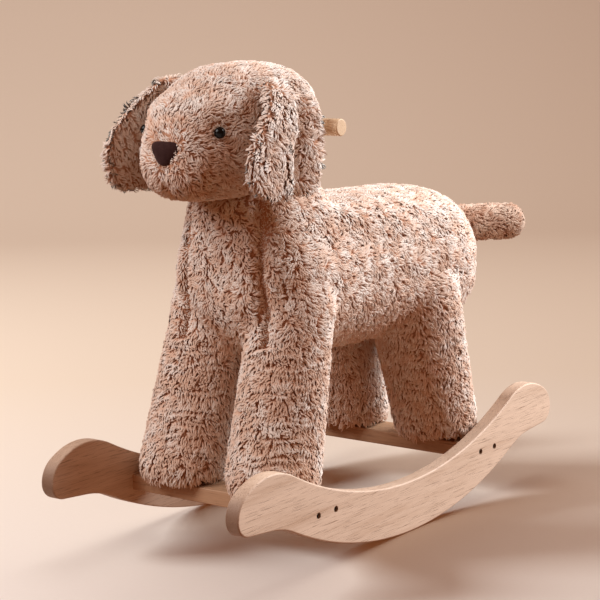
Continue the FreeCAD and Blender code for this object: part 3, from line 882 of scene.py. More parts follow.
    def paths(self, roots: np.ndarray, normals: np.ndarray, share: np.ndarray,
              owner: np.ndarray, middles: np.ndarray, comb: RootField,
              random: np.random.Generator) -> tuple[np.ndarray, np.ndarray, np.ndarray]:
        """The centre line, the wide way and the tone of each lock.

        Args:
            roots: root points.
            normals: the skin's normals there.
            share: length shares.
            owner: the wisp that each lock belongs to.
            middles: the wisps' middle points.
            comb: gives the combing direction at root points.
            random: the source of random draws.

        Returns:
            Centre lines, wide ways and tones, one of each per lock.
        """
        count, groups = len(roots), len(middles)
        way = unit_rows(along_skin(comb(roots, normals), normals))
        aside = np.cross(normals, way)
        turn = random.normal(0.0, self.swirl, groups)[owner]
        turn += random.normal(0.0, self.own_turn, count)
        turn += self.flow * waves(roots, self.flow_size, 5)
        lean = way * np.cos(turn)[:, None] + aside * np.sin(turn)[:, None]
        across = np.cross(normals, lean)
        size = share * random.uniform(*self.wisp_sizes, groups)[owner]
        size = size * random.uniform(*self.lock_sizes, count)
        reach = (self.length * size)[:, None]
        # shade here is painted shade for the partings and the rows' troughs
        pull, shade = self.pulls(roots, normals, middles[owner])
        phase = random.uniform(0, 2 * math.pi, groups)[owner] + random.normal(0, 0.5, count)
        stations = np.linspace(0.0, 1.0, self.stations)
        lines = []
        for t in stations:
            up = self.stand * math.sin(t * self.bend)
            line = roots - normals * self.root_depth + normals * reach * up
            line = line + lean * reach * self.lie * t ** 1.35
            line = line + pull * t ** 1.2
            wave = np.sin(phase + t * self.curl_turns) - np.sin(phase)
            line = line + across * (self.curl * t * wave * share)[:, None]
            lines.append(line)
        # the lock's tone is random, less the painted shade of the partings and the rows' troughs
        tone = 0.5 + random.normal(0, self.wisp_tone, groups)[owner]
        tone = np.clip(tone + random.normal(0, self.lock_tone, count) - shade, 0.0, 1.0)
        return np.stack(lines, axis=1), across, tone

    def pulls(self, roots: np.ndarray, normals: np.ndarray,
              wisp_middles: np.ndarray) -> tuple[np.ndarray, np.ndarray]:
        """How far each tip is drawn aside, and how much its lock's tone is darkened with painted
        shade in the partings and the rows' troughs.

        Args:
            roots: root points.
            normals: the skin's normals there.
            wisp_middles: the middle of each lock's wisp.

        Returns:
            A shift and an amount of painted shade for each lock.
        """
        pull = along_skin(wisp_middles - roots, normals) * self.gather
        shade = np.zeros(len(roots))
        if self.ruffle > 0:
            row = roots[:, 2] / self.ruffle_rise + 0.55 * waves(roots, self.ruffle_size, 9)
            step = -np.sin(2 * math.pi * row) / (2 * math.pi) * self.ruffle_rise
            # painted shade: tones in the troughs between the rows are painted darker, where
            # shade falls
            shade += self.trough_painted_shade * (0.5 - 0.5 * np.cos(2 * math.pi * row))
            pull = pull * np.array((1.0, 1.0, 0.35))
            pull[:, 2] += step * self.ruffle
        # painted shade: locks round the middle of a parting are painted darker, where shade
        # falls into the gap
        away, near = self.partings(roots)
        push = near * self.parting_reach * self.parting_push
        pull = pull + unit_rows(along_skin(away, normals)) * push[:, None]
        return pull, shade + self.parting_painted_shade * near

    def piece(self, name: str, paths: np.ndarray, across: np.ndarray, normals: np.ndarray,
              share: np.ndarray, tone: np.ndarray) -> bpy.types.Object:
        """Builds three-sided tapered locks along their centre lines.

        Args:
            name: the piece's name.
            paths: centre lines.
            across: each lock's wide way.
            normals: the skin's normals at the roots.
            share: length shares.
            tone: each lock's tone.

        Returns:
            The piece.
        """
        count, stations = paths.shape[:2]
        taper = np.interp(np.linspace(0, 1, stations), (0, 0.3, 0.6, 0.85, 1.0),
                          (0.85, 1.0, 0.86, 0.52, 0.07))
        wide = self.width * np.sqrt(np.clip(share, 0.2, 1.2))
        half = wide[:, None] * taper[None, :] / 2
        tangent = np.gradient(paths, axis=1)
        flat = np.cross(tangent, across[:, None, :])
        flat /= np.maximum(np.linalg.norm(flat, axis=2, keepdims=True), 1e-12)
        flat *= np.sign(np.sum(flat * normals[:, None, :], axis=2, keepdims=True) + 1e-9)
        side = across[:, None, :] * half[:, :, None]
        rise = flat * (half * self.edge_rise)[:, :, None]
        ring = np.stack([paths - side - rise / 2, paths + side - rise / 2,
                         paths + rise], axis=2)
        points = ring.reshape(-1, 3)
        base = (np.arange(count * stations).reshape(count, stations) * 3)[:, :-1]
        quads = []
        for corner in range(3):
            other = (corner + 1) % 3
            quads.append(np.stack([base + corner, base + other, base + 3 + other,
                                   base + 3 + corner], axis=-1))
        quads = np.stack(quads, axis=2).reshape(-1, 4)
        mesh = mesh_from_arrays(name, points, quads)
        self.lay_map(mesh, count, stations)
        self.soften(mesh, np.repeat(normals, stations * 3, axis=0))
        along = np.repeat(np.tile(np.linspace(0, 1, stations), count), 3)
        self.store(mesh, "lock_along", along)
        # lock_tone carries the painted shade of the partings and troughs along with the random
        # tone
        self.store(mesh, "lock_tone", np.repeat(tone, stations * 3))
        return new_object(name, mesh)

    def soften(self, mesh: bpy.types.Mesh, skin_normals: np.ndarray) -> None:
        """Turns the locks' shading part of the way to that of the coat as a whole.

        Args:
            mesh: the locks.
            skin_normals: the skin's normal for each vertex.
        """
        own = np.empty(len(mesh.vertices) * 3, dtype=np.float32)
        mesh.vertex_normals.foreach_get("vector", own)
        mixed = own.reshape(-1, 3) * (1 - self.softness) + skin_normals * self.softness
        mesh.normals_split_custom_set_from_vertices(unit_rows(mixed).tolist())

    def store(self, mesh: bpy.types.Mesh, name: str, values: np.ndarray) -> None:
        """Stores one number per vertex."""
        layer = mesh.attributes.new(name, "FLOAT", "POINT")
        layer.data.foreach_set("value", values.astype(np.float32))

    def lay_map(self, mesh: bpy.types.Mesh, count: int, stations: int) -> None:
        """Gives every lock a cell of its own in the piece's map.

        Args:
            mesh: the locks.
            count: how many locks it has.
            stations: how many rings each lock has.
        """
        columns = math.ceil(math.sqrt(count))
        number = np.arange(count)
        corner = np.stack([number % columns, number // columns], axis=1) / columns
        inner = (1 - 2 * self.map_margin) / columns
        start = corner + self.map_margin / columns
        steps = np.linspace(0, 1, stations)
        cells = np.empty((count, stations - 1, 3, 4, 2))
        for step in range(stations - 1):
            for face in range(3):
                u = (face / 3, (face + 1) / 3, (face + 1) / 3, face / 3)
                v = (steps[step], steps[step], steps[step + 1], steps[step + 1])
                for loop in range(4):
                    cells[:, step, face, loop, 0] = start[:, 0] + inner * u[loop]
                    cells[:, step, face, loop, 1] = start[:, 1] + inner * v[loop]
        layer = mesh.uv_layers.new(name="OFBake")
        layer.data.foreach_set("uv", cells.astype(np.float32).ravel())


# ------------------------------------------------------------------ the puppy


@dataclass
class PuppyBody:
    """Body, neck and legs: one stuffed skin, with its coat."""

    coat: FurCoat
    leg_coat: FurCoat
    voxel: float = 4.0 * MM
    skin_depth: float = 4.5 * MM
    rocker_gap: float = 0.6 * MM
    board_gap: float = 0.4 * MM
    sole_hang: float = 8.0 * MM
    sole_edge: float = 30.0 * MM
    leg_top: float = 240.0 * MM
    leg_border: float = 12.0 * MM
    neck_overlap: float = 3.0 * MM
    back_start: float = 40.0 * MM
    neck_rear: float = 12.0 * MM
    neck_depth: float = 60.0 * MM
    crease_depth: float = 9.5 * MM
    crease_width: float = 7.5 * MM
    crease_foot: float = 235.0 * MM
    crease_taper_foot: float = 250.0 * MM
    crease_taper_rise: float = 147.0 * MM
    crease_half_span: float = 58.0 * MM
    crease_lean: float = 10.0 * MM
    crease_reach_back: float = 75.0 * MM
    legs: tuple[str, ...] = ("front_left", "front_right", "rear_left", "rear_right")

    def build(self) -> Skin:
        """Makes the skin round the body, neck and leg covers.

        Returns:
            The skin.
        """
        body = node_points("body_cover") + node_points("chest_cover")
        head = Box.of("head_cover")
        back_line = max(p.z for p in body if p.y > head.high.y + self.back_start)
        maker = SkinMaker(self.voxel, 9)
        form = bmesh.new()
        maker.hull(form, [p for p in body if p.z < back_line + 1.0 * MM])
        neck_rear = head.high.y + self.neck_rear
        neck_foot = back_line - self.neck_depth
        maker.hull(form, [p for p in body if p.z > neck_foot and p.y < neck_rear])
        for leg in self.legs:
            maker.hull(form, node_points(f"{leg}_leg_cover"))
        skin = maker.remesh("body_skin", form)
        skin.inset(self.skin_depth)
        skin.swell(self.sculpt())
        gap = self.crease_gap(skin.points)
        depth = self.crease_depth * np.exp(-(gap / self.crease_width) ** 2)
        skin.points -= skin.normals * depth[:, None]
        skin.write()
        return skin

    def sculpt(self) -> list[Swell]:
        """The fullness of the shoulders, the haunches and the belly.

        Returns:
            The rises to work into the skin.
        """
        body = torso_box()
        front_leg = Box.of("front_left_leg_cover")
        rear_leg = Box.of("rear_left_leg_cover")
        return [
            Swell(front_leg.at(0.2, 0.5, 1.0), (38 * MM, 60 * MM, 50 * MM), 5.0 * MM),
            Swell(rear_leg.at(0.1, 0.2, 0.7), (40 * MM, 60 * MM, 60 * MM), 4.0 * MM),
            Swell(body.at(0.0, 0.1, -0.98), (60 * MM, 90 * MM, 30 * MM), 3.0 * MM,
                  paired=False),
        ]

    def dress(self, skin: Skin, head: Skin) -> list[bpy.types.Object]:
        """Grows the coat, but for where the head covers it, and hides the CAD nodes it stands
        for.

        Args:
            skin: the body's skin.
            head: the head's skin.

        Returns:
            The fur's pieces.
        """
        covered = head.tree()

        def on_body(roots: np.ndarray, normals: np.ndarray) -> np.ndarray:
            """Length shares above the legs."""
            return self.trim(roots, normals, covered) * ~self.on_leg(roots)

        def on_legs(roots: np.ndarray, normals: np.ndarray) -> np.ndarray:
            """Length shares on the legs."""
            return self.trim(roots, normals, covered) * self.on_leg(roots)

        pieces = self.coat.grow("body_fur", skin, self.comb, on_body,
                                seed=11, fence=self.fence)
        pieces += self.leg_coat.grow("leg_fur", skin, self.comb, on_legs,
                                     seed=13, fence=self.fence)
        nodes = ["body_cover", "chest_cover", "body_stuffing"]
        for leg in self.legs:
            nodes += [f"{leg}_leg_cover", f"{leg}_leg_stuffing"]
        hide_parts(*nodes)
        return pieces

    def on_leg(self, roots: np.ndarray) -> np.ndarray:
        """Which roots are on a leg, with an uneven border."""
        return roots[:, 2] + self.leg_border * waves(roots, 22.0 * MM, 3) < self.leg_top

    def crease_gap(self, points: np.ndarray) -> np.ndarray:
        """How far points at the front are from the seams between chest and shoulders.

        Args:
            points: places, one row each.

        Returns:
            The distances, set to a metre where there is no seam.
        """
        rise = (points[:, 2] - self.crease_taper_foot) / self.crease_taper_rise
        line = self.crease_half_span - self.crease_lean * np.clip(rise, 0.0, 1.0)
        gap = np.abs(np.abs(points[:, 0]) - line)
        rear = Box.of("chest_cover").low.y + self.crease_reach_back
        out = (points[:, 1] > rear) | (points[:, 2] < self.crease_foot)
        return np.where(out, 1.0, gap)

    def comb(self, roots: np.ndarray, normals: np.ndarray) -> np.ndarray:
        """Down the legs, down and back over the body.

        Args:
            roots: root points.
            normals: the skin's normals there; not used.

        Returns:
            The direction at each root.
        """
        board_top = Box.of("front_cross_board").high.z
        leg_share = 1 - smooth_step(board_top + 120 * MM, board_top + 220 * MM,
                                     roots[:, 2])
        way = np.zeros_like(roots)
        way[:, 1] = 0.75 * (1 - leg_share)
        way[:, 2] = -1.0
        return way

    def trim(self, roots: np.ndarray, normals: np.ndarray, covered: BVHTree) -> np.ndarray:
        """Full length but for the soles, the neck inside the head and the chest's creases.

        Args:
            roots: root points.
            normals: the skin's normals there.
            covered: the head's skin.

        Returns:
            The length share of each root.
        """
        sole_top = Box.of("front_cross_board").high.z + self.sole_edge
        head = Box.of("head_cover")
        share = np.ones(len(roots))
        share[(normals[:, 2] < -0.6) & (roots[:, 2] < sole_top)] = 0.0
        for number in np.flatnonzero(roots[:, 2] > head.low.z - 10 * MM):
            point, normal, _, _ = covered.find_nearest(roots[number])
            if (Vector(roots[number]) - point).dot(normal) < -self.neck_overlap:
                share[number] = 0.0
        share *= 0.3 + 0.7 * smooth_step(2 * MM, 11 * MM, self.crease_gap(roots))
        return share

    def fence(self, points: np.ndarray) -> np.ndarray:
        """Keeps the coat off the rockers and boards.

        Args:
            points: places on the locks, one row each; they are moved.

        Returns:
            The same points.
        """
        rocker = Box.of("left_rocker")
        board_top = Box.of("front_cross_board").high.z
        low = points[:, 2] < rocker.high.z + 4 * MM
        limit = rocker.low.x - self.rocker_gap
        points[low, 0] = np.clip(points[low, 0], -limit, limit)
        for board in ("front_cross_board", "rear_cross_board"):
            box = Box.of(board)
            over = (points[:, 1] > box.low.y - 1 * MM) & (points[:, 1] < box.high.y + 1 * MM)
            points[over, 2] = np.maximum(points[over, 2], board_top + self.board_gap)
        points[:, 2] = np.maximum(points[:, 2], board_top - self.sole_hang)
        return points


@dataclass
class PuppyHead:
    """Round head with a short broad muzzle."""

    coat: FurCoat
    voxel: float = 3.2 * MM
    skin_depth: float = 4.5 * MM
    eye_clearing: float = 5.6 * MM
    grip_clearing: float = 0.5 * MM
    nose_lap: float = 1.5 * MM
    nose_fade: float = 14.0 * MM
    nose_depth: float = 45.0 * MM

    def build(self) -> Skin:
        """Makes the skin and sculpts the face.

        Returns:
            The skin.
        """
        maker = SkinMaker(self.voxel, 6)
        form = bmesh.new()
        maker.hull(form, node_points("head_cover"))
        skin = maker.remesh("head_skin", form)
        skin.inset(self.skin_depth)
        skin.swell(self.sculpt())
        skin.smooth(2)
        return skin

    def sculpt(self) -> list[Swell]:
        """Muzzle pads, cheeks, brow and eye hollows.

        Returns:
            The rises and hollows to work into the skin.
        """
        head = Box.of("head_cover")
        eye = Box.of("left_eye")
        nose = Box.of("nose")
        pad = nose.middle + Vector((20 * MM, 22 * MM, -24 * MM))
        return [
            Swell(pad, (22 * MM, 30 * MM, 24 * MM), 6.0 * MM),
            Swell(head.at(0.62, -0.25, -0.45), (34 * MM, 42 * MM, 34 * MM), 5.0 * MM),
            Swell(eye.middle, (15 * MM, 18 * MM, 12 * MM), -4.5 * MM),
            Swell(eye.middle + Vector((-4 * MM, -2 * MM, 24 * MM)),
                  (26 * MM, 26 * MM, 14 * MM), 4.5 * MM),
            Swell(nose.middle + Vector((0, 10 * MM, -30 * MM)),
                  (5 * MM, 24 * MM, 24 * MM), -4.0 * MM, paired=False),
            Swell(nose.middle + Vector((0, 16 * MM, 32 * MM)),
                  (20 * MM, 22 * MM, 14 * MM), -3.0 * MM, paired=False),
        ]

    def dress(self, skin: Skin, ears: Sequence[Skin]) -> list[bpy.types.Object]:
        """Grows the coat, short under the ears and clear of eyes, nose and grip.

        Args:
            skin: the head's skin.
            ears: the ears' skins.

        Returns:
            The fur's pieces.
        """
        flaps = [ear.tree() for ear in ears]
        pieces = self.coat.grow("head_fur", skin, self.comb,
                                lambda roots, normals: self.trim(roots, flaps), seed=23)
        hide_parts("head_cover", "head_stuffing")
        return pieces

    def comb(self, roots: np.ndarray, normals: np.ndarray) -> np.ndarray:
        """Out from the nose over the face, then back and down.

        Args:
            roots: root points.
            normals: the skin's normals there; not used.

        Returns:
            The direction at each root.
        """
        nose = Box.of("nose")
        middle = np.array(nose.middle) + np.array((0, 0, 6 * MM))
        away = roots - middle
        away[:, 1] += 30 * MM
        gap = np.linalg.norm(roots - middle, axis=1)
        back = smooth_step(80 * MM, 160 * MM, gap)[:, None]
        return unit_rows(away) * (1 - 0.5 * back) + np.array((0.0, 0.0, -0.7)) * back

    def trim(self, roots: np.ndarray, flaps: Sequence[BVHTree]) -> np.ndarray:
        """Length shares over the head.

        Args:
            roots: root points.
            flaps: the ears' skins.

        Returns:
            The length share of each root.
        """
        share = self.trim_muzzle(roots)
        for side in Side:
            eye = Box.of(f"{side.word}_eye")
            middle = np.array(eye.at(side.value * 0.55, -0.25, 0.0))
            gap = np.linalg.norm(roots - middle, axis=1)
            share *= 0.62 + 0.38 * smooth_step(8 * MM, 18 * MM, gap)
            share[gap < self.eye_clearing] = 0.0
        grip = Box.of("handle")
        radius = np.hypot(roots[:, 1] - grip.middle.y, roots[:, 2] - grip.middle.z)
        share[radius < grip.half.z + self.grip_clearing] = 0.0
        far = 30 * MM
        for flap in flaps:
            gaps = np.array([flap.find_nearest(point, far)[3] or far for point in roots])
            share *= 0.42 + 0.58 * smooth_step(12 * MM, 28 * MM, gaps)
        return share

    def trim_muzzle(self, roots: np.ndarray) -> np.ndarray:
        """Nothing under the nose, and shorter fur round it.

        Args:
            roots: root points.

        Returns:
            The length share of each root.
        """
        share = np.ones(len(roots))
        nose = Box.of("nose")
        half_width, half_height = nose.half.x, nose.half.z
        away = roots - np.array(nose.middle)
        height = away[:, 2] / half_height
        width_here = half_width * np.clip(0.62 + 0.42 * height, 0.15, 1.05)
        on_nose = np.abs(away[:, 0]) < width_here - self.nose_lap
        on_nose &= (np.abs(height + 0.14) < 0.82) & (away[:, 1] < self.nose_depth)
        share[on_nose] = 0.0
        beside = np.maximum(np.abs(away[:, 0]) - half_width * 0.7, 0) / self.nose_fade
        above = np.maximum(np.abs(away[:, 2]) - half_height * 0.8, 0) / self.nose_fade
        behind = away[:, 1] / (50 * MM)
        near_nose = np.exp(-(beside ** 2 + above ** 2 + behind ** 2))
        return share * (1 - 0.38 * near_nose)


@dataclass
class PuppyEar:
    """A hanging flap with a lengthways fold."""

    side: Side
    coat: FurCoat
    voxel: float = 2.6 * MM
    skin_depth: float = 4.6 * MM
    front_lobe: float = 2.0 * MM
    rear_lobe: float = 3.5 * MM
    valley_depth: float = 7.0 * MM

    @property
    def node(self) -> str:
        """The CAD node's name."""
        return f"{self.side.word}_ear"

    def build(self) -> Skin:
        """Makes the flap's skin and works the fold into it.

        Returns:
            The skin.
        """
        maker = SkinMaker(self.voxel, 5)
        form = bmesh.new()
        form.from_mesh(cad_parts[self.node].data)
        skin = maker.remesh(f"{self.node}_skin", form)
        skin.inset(self.skin_depth)
        self.fold(skin)
        return skin

    def fold(self, skin: Skin) -> None:
        """Pushes two lobes outward, with a valley between them.

        Args:
            skin: the flap's skin.
        """
        box = Box.of(self.node)
        depth = box.high.y - box.low.y
        height = box.high.z - box.low.z
        down = (box.high.z - skin.points[:, 2]) / height
        along = (skin.points[:, 1] - box.low.y) / depth
        valley = 0.84 - 0.22 * np.clip(down * 1.6, 0, 1)
        front = np.exp(-((along - valley + 0.36) / 0.25) ** 2)
        rear = np.exp(-((along - valley - 0.22) / 0.13) ** 2)
        crease = np.exp(-((along - valley) / 0.055) ** 2)
        strength = smooth_step(0.06, 0.35, down)
        push = self.front_lobe * front + self.rear_lobe * rear - self.valley_depth * crease
        skin.points[:, 0] += self.side.value * strength * push
        skin.write()

    def dress(self, skin: Skin) -> list[bpy.types.Object]:
        """Grows the coat on the flap.

        Args:
            skin: the flap's skin.

        Returns:
            The fur's pieces.
        """
        seed = 31 if self.side is Side.LEFT else 37
        pieces = self.coat.grow(f"{self.node}_fur", skin, self.comb, self.trim, seed)
        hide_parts(self.node)
        return pieces

    def comb(self, roots: np.ndarray, normals: np.ndarray) -> np.ndarray:
        """Down and a little outward from the fold.

        Args:
            roots: root points.
            normals: the skin's normals there; not used.

        Returns:
            The direction at each root.
        """
        box = Box.of(self.node)
        middle = (box.low.y + box.high.y) / 2
        way = np.zeros_like(roots)
        way[:, 1] = (roots[:, 1] - middle) / (box.high.y - box.low.y) * 1.1
        way[:, 2] = -1.0
        return way

    def trim(self, roots: np.ndarray, normals: np.ndarray) -> np.ndarray:
        """Short on the side that lies against the head."""
        inner = normals[:, 0] * self.side.value < -0.35
        return np.where(inner, 0.75, 1.0)


@dataclass
class PuppyTail:
    """A stuffed roll with a round tip."""

    coat: FurCoat
    voxel: float = 3.0 * MM
    skin_depth: float = 5.0 * MM

    def build(self) -> Skin:
        """Makes the tail's skin.

        Returns:
            The skin.
        """
        maker = SkinMaker(self.voxel, 2)
        form = bmesh.new()
        maker.hull(form, node_points("tail"))
        skin = maker.remesh("tail_skin", form)
        skin.inset(self.skin_depth)
        return skin

    def dress(self, skin: Skin) -> list[bpy.types.Object]:
        """Grows the coat towards the tip.

        Args:
            skin: the tail's skin.

        Returns:
            The fur's pieces.
        """
        tail = skin.points
        root = tail[np.argmin(tail[:, 1])]
        tip = tail[np.argmax(tail[:, 0] + tail[:, 1])]
        axis = (tip - root) / np.linalg.norm(tip - root)
        pieces = self.coat.grow("tail_fur", skin,
                                lambda roots, normals: np.tile(axis, (len(roots), 1)),
                                lambda roots, normals: np.full(len(roots), 0.95),
                                seed=41)
        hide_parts("tail")
        return pieces


@dataclass
class PuppyNose:
    """A padded cloth triangle with its point down."""

    rings: int = 12
    around: int = 72
    crown: float = 5.5 * MM
    back: float = 8.0 * MM
    wrap: float = 5.0 * MM
    drop: float = 0.5 * MM
    fullness: float = 1.03

    def outline(self, turn: np.ndarray) -> np.ndarray:
        """Radius factor of a rounded triangle at each angle."""
        three = 0.5 + 0.5 * np.cos(3 * (turn + math.pi / 2))
        return 0.80 + 0.27 * three ** 1.15

    def build(self) -> bpy.types.Object:
        """Lays rings from the crown out over the rim to the back.

        Returns:
            The pad.
        """
        box = Box.of("nose")
        middle = box.middle
        half_x = box.half.x * self.fullness
        half_z = box.half.z * self.fullness
        turns = np.arange(self.around) * 2 * math.pi / self.around
        radius = self.outline(turns)
        rows = []
        front = box.low.y
        for ring in range(self.rings + 1):
            share = ring / self.rings * math.pi / 2
            scale = max(math.sin(share), 0.02)
            depth = front + self.crown * (1 - math.cos(share) ** 0.8)
            rows.append((scale, depth))
        rows.append((1.0, front + self.crown + self.back * 0.5))
        rows.append((0.93, front + self.crown + self.back))
        points = []
        for scale, depth in rows:
            bend = ((np.cos(turns) * radius * scale) ** 2) * self.wrap
            points.append(np.stack([
                middle.x + np.cos(turns) * radius * scale * half_x,
                depth + bend,
                middle.z - self.drop + np.sin(turns) * radius * scale * half_z], axis=1))
        grid = np.concatenate(points)
        quads = []
        for row in range(len(rows) - 1):
            for step in range(self.around):
                other = (step + 1) % self.around
                quads.append((row * self.around + step, row * self.around + other,
                              (row + 1) * self.around + other, (row + 1) * self.around + step))
        mesh = mesh_from_arrays("nose_pad", grid, np.array(quads))
        form = bmesh.new()
        form.from_mesh(mesh)
        form.verts.ensure_lookup_table()
        bmesh.ops.contextual_create(form, geom=[e for e in form.edges if e.is_boundary])
        bmesh.ops.recalc_face_normals(form, faces=form.faces)
        form.to_mesh(mesh)
        form.free()
        return new_object("nose_pad", mesh)


# ------------------------------------------------------------------ the studio


class Lit(Enum):
    """What a lamp shines on, the rest being flagged off from it."""

    PAPER = "INCLUDE"
    PUPPY = "EXCLUDE"


@dataclass(frozen=True)
class Lamp:
    """One soft rectangular light, aimed at a point."""

    name: str
    place: Triple
    size: float
    watts: float
    colour: Colour
    lights: Lit

    def build(self, target: Vector, paper: bpy.types.Object) -> None:
        """Hangs the lamp.

        Args:
            target: the point that the lamp's place is measured from and that it faces.
            paper: the studio's floor and backdrop.
        """
        data = bpy.data.lights.new(self.name, "AREA")
        data.shape = "SQUARE"
        data.size = self.size
        data.energy = self.watts
        data.color = self.colour
        lamp = bpy.data.objects.new(self.name, data)
        lamp.location = target + Vector(self.place)
        lamp.rotation_euler = (-Vector(self.place)).to_track_quat("-Z", "Y").to_euler()
        lamp.visible_camera = False
        bpy.context.scene.collection.objects.link(lamp)
        flagged = bpy.data.collections.new(f"{self.name}_flag")
        flagged.objects.link(paper)
        flagged.collection_objects[0].light_linking.link_state = self.lights.value
        lamp.light_linking.receiver_collection = flagged


@dataclass
class Studio:
    """Pale floor running up into a backdrop painted darker as painted shade, soft lamps and the
    camera.
    """

    floor_front: float = -18.0
    half_width: float = 14.0
    wall_height: float = 5.0
    bend_start: float = 2.4
    bend_radius: float = 1.2
    bend_steps: int = 12
    fade_from: float = -0.7
    fade_to: float = 0.75
    aim_height: float = 0.25
    floor_colour: Colour = (0.86, 0.83, 0.78)
    wall_colour_with_painted_shade: Colour = (0.80, 0.71, 0.575)
    air_colour: Colour = (1.0, 0.38, 0.17)
    air_strength: float = 0.25
    camera_from_middle: Triple = (1.3389, -1.7687, 0.6437)
    azimuth: float = 37.472
    elevation: float = 9.791
    roll: float = -1.229
    lens_mm: float = 113.5
    lamps: tuple[Lamp, ...] = field(default_factory=lambda: (
        Lamp("key_lamp", (1.33, 1.72, 1.22), 1.8, 108.0, (0.97, 0.98, 1.0), Lit.PUPPY),
        Lamp("front_lamp", (-1.0, -1.9, 1.75), 1.5, 54.0, (1.0, 0.98, 0.98), Lit.PUPPY),
        Lamp("left_lamp", (-2.5, -1.9, 1.35), 1.1, 142.0, (0.97, 0.97, 1.0), Lit.PAPER),
        Lamp("room_lamp", (-0.9, 1.3, 2.7), 2.4, 40.0, (1.0, 0.97, 0.95), Lit.PAPER),
    ))

    def build(self) -> None:
        """Makes the stage, the lights and the camera."""
        rocker = Box.of("left_rocker")
        middle = Vector((0.0, (rocker.low.y + rocker.high.y) / 2, 0.0))
        paper = self.sweep()
        for lamp in self.lamps:
            lamp.build(middle + Vector((0, 0, self.aim_height)), paper)
        self.air()
        self.camera(middle)

    def sweep(self) -> bpy.types.Object:
        """The floor and backdrop in one curved sheet.

        Returns:
            The sheet.
        """
        profile = [(self.floor_front, 0.0), (self.bend_start, 0.0)]
        for step in range(1, self.bend_steps + 1):
            turn = step / self.bend_steps * math.pi / 2
            profile.append((self.bend_start + self.bend_radius * math.sin(turn),
                            self.bend_radius * (1 - math.cos(turn))))
        profile.append((self.bend_start + self.bend_radius, self.wall_height))
        forward = Vector((-math.sin(math.radians(self.azimuth)),
                          math.cos(math.radians(self.azimuth)), 0.0))
        across = Vector((forward.y, -forward.x, 0.0))
        points = []
        for reach, height in profile:
            for side in (-self.half_width, self.half_width):
                points.append(forward * reach + across * side + Vector((0, 0, height)))
        grid = np.array([tuple(p) for p in points])
        quads = np.array([(2 * i, 2 * i + 1, 2 * i + 3, 2 * i + 2)
                          for i in range(len(profile) - 1)])
        sheet = new_object("floor_sweep", mesh_from_arrays("floor_sweep", grid, quads))
        recipe = Recipe("studio_paper")
        place = recipe.coordinates()
        reach = recipe.add("VectorMath", {0: place, 1: tuple(forward)}, operation="DOT_PRODUCT")
        # painted shade: the paper fades from the floor's colour to a darker, warmer wall colour
        # along the view's forward way, standing in for light falling off towards the back
        share = recipe.spread(reach.outputs["Value"], self.fade_from, self.fade_to)
        grain = recipe.spread(recipe.noise(place, 220.0, 4.0), 0.3, 0.7, 0.0, 0.03)
        colour = recipe.mix(share, self.floor_colour, self.wall_colour_with_painted_shade)
        recipe.set(Base_Color=recipe.mix(grain, colour, (0.5, 0.4, 0.3)), Roughness=0.9,
                   Specular_IOR_Level=0.1)
        sheet.data.materials.append(recipe.material)
        sheet.visible_diffuse = False
        return sheet

    def air(self) -> None:
        """Even warm light from all round."""
        world = bpy.data.worlds.new("studio_air")
        world.use_nodes = True
        background = world.node_tree.nodes["Background"]
        background.inputs["Color"].default_value = (*self.air_colour, 1.0)
        background.inputs["Strength"].default_value = self.air_strength
        bpy.context.scene.world = world
        bpy.context.scene.view_settings.view_transform = "Standard"

    def camera(self, middle: Vector) -> None:
        """A long lens, a little above the rockers' front left quarter.

        Args:
            middle: the point on the floor that the camera's place is measured from.
        """
        data = bpy.data.cameras.new("studio_camera")
        data.lens = self.lens_mm
        data.sensor_width = 36.0
        data.clip_end = 50.0
        turn, lift = math.radians(self.azimuth), math.radians(self.elevation)
        back = Vector((math.sin(turn) * math.cos(lift), -math.cos(turn) * math.cos(lift),
                       math.sin(lift)))
        right = Vector((math.cos(turn), math.sin(turn), 0.0))
        up = back.cross(right)
        lean = math.radians(self.roll)
        level = right * math.cos(lean) + up * math.sin(lean)
        tall = up * math.cos(lean) - right * math.sin(lean)
        camera = bpy.data.objects.new("studio_camera", data)
        turned = Matrix((level, tall, back)).transposed().to_4x4()
        turned.translation = middle + Vector(self.camera_from_middle)
        camera.matrix_world = turned
        bpy.context.scene.collection.objects.link(camera)
        bpy.context.scene.camera = camera


# ------------------------------------------------------------------ dressing CAD nodes


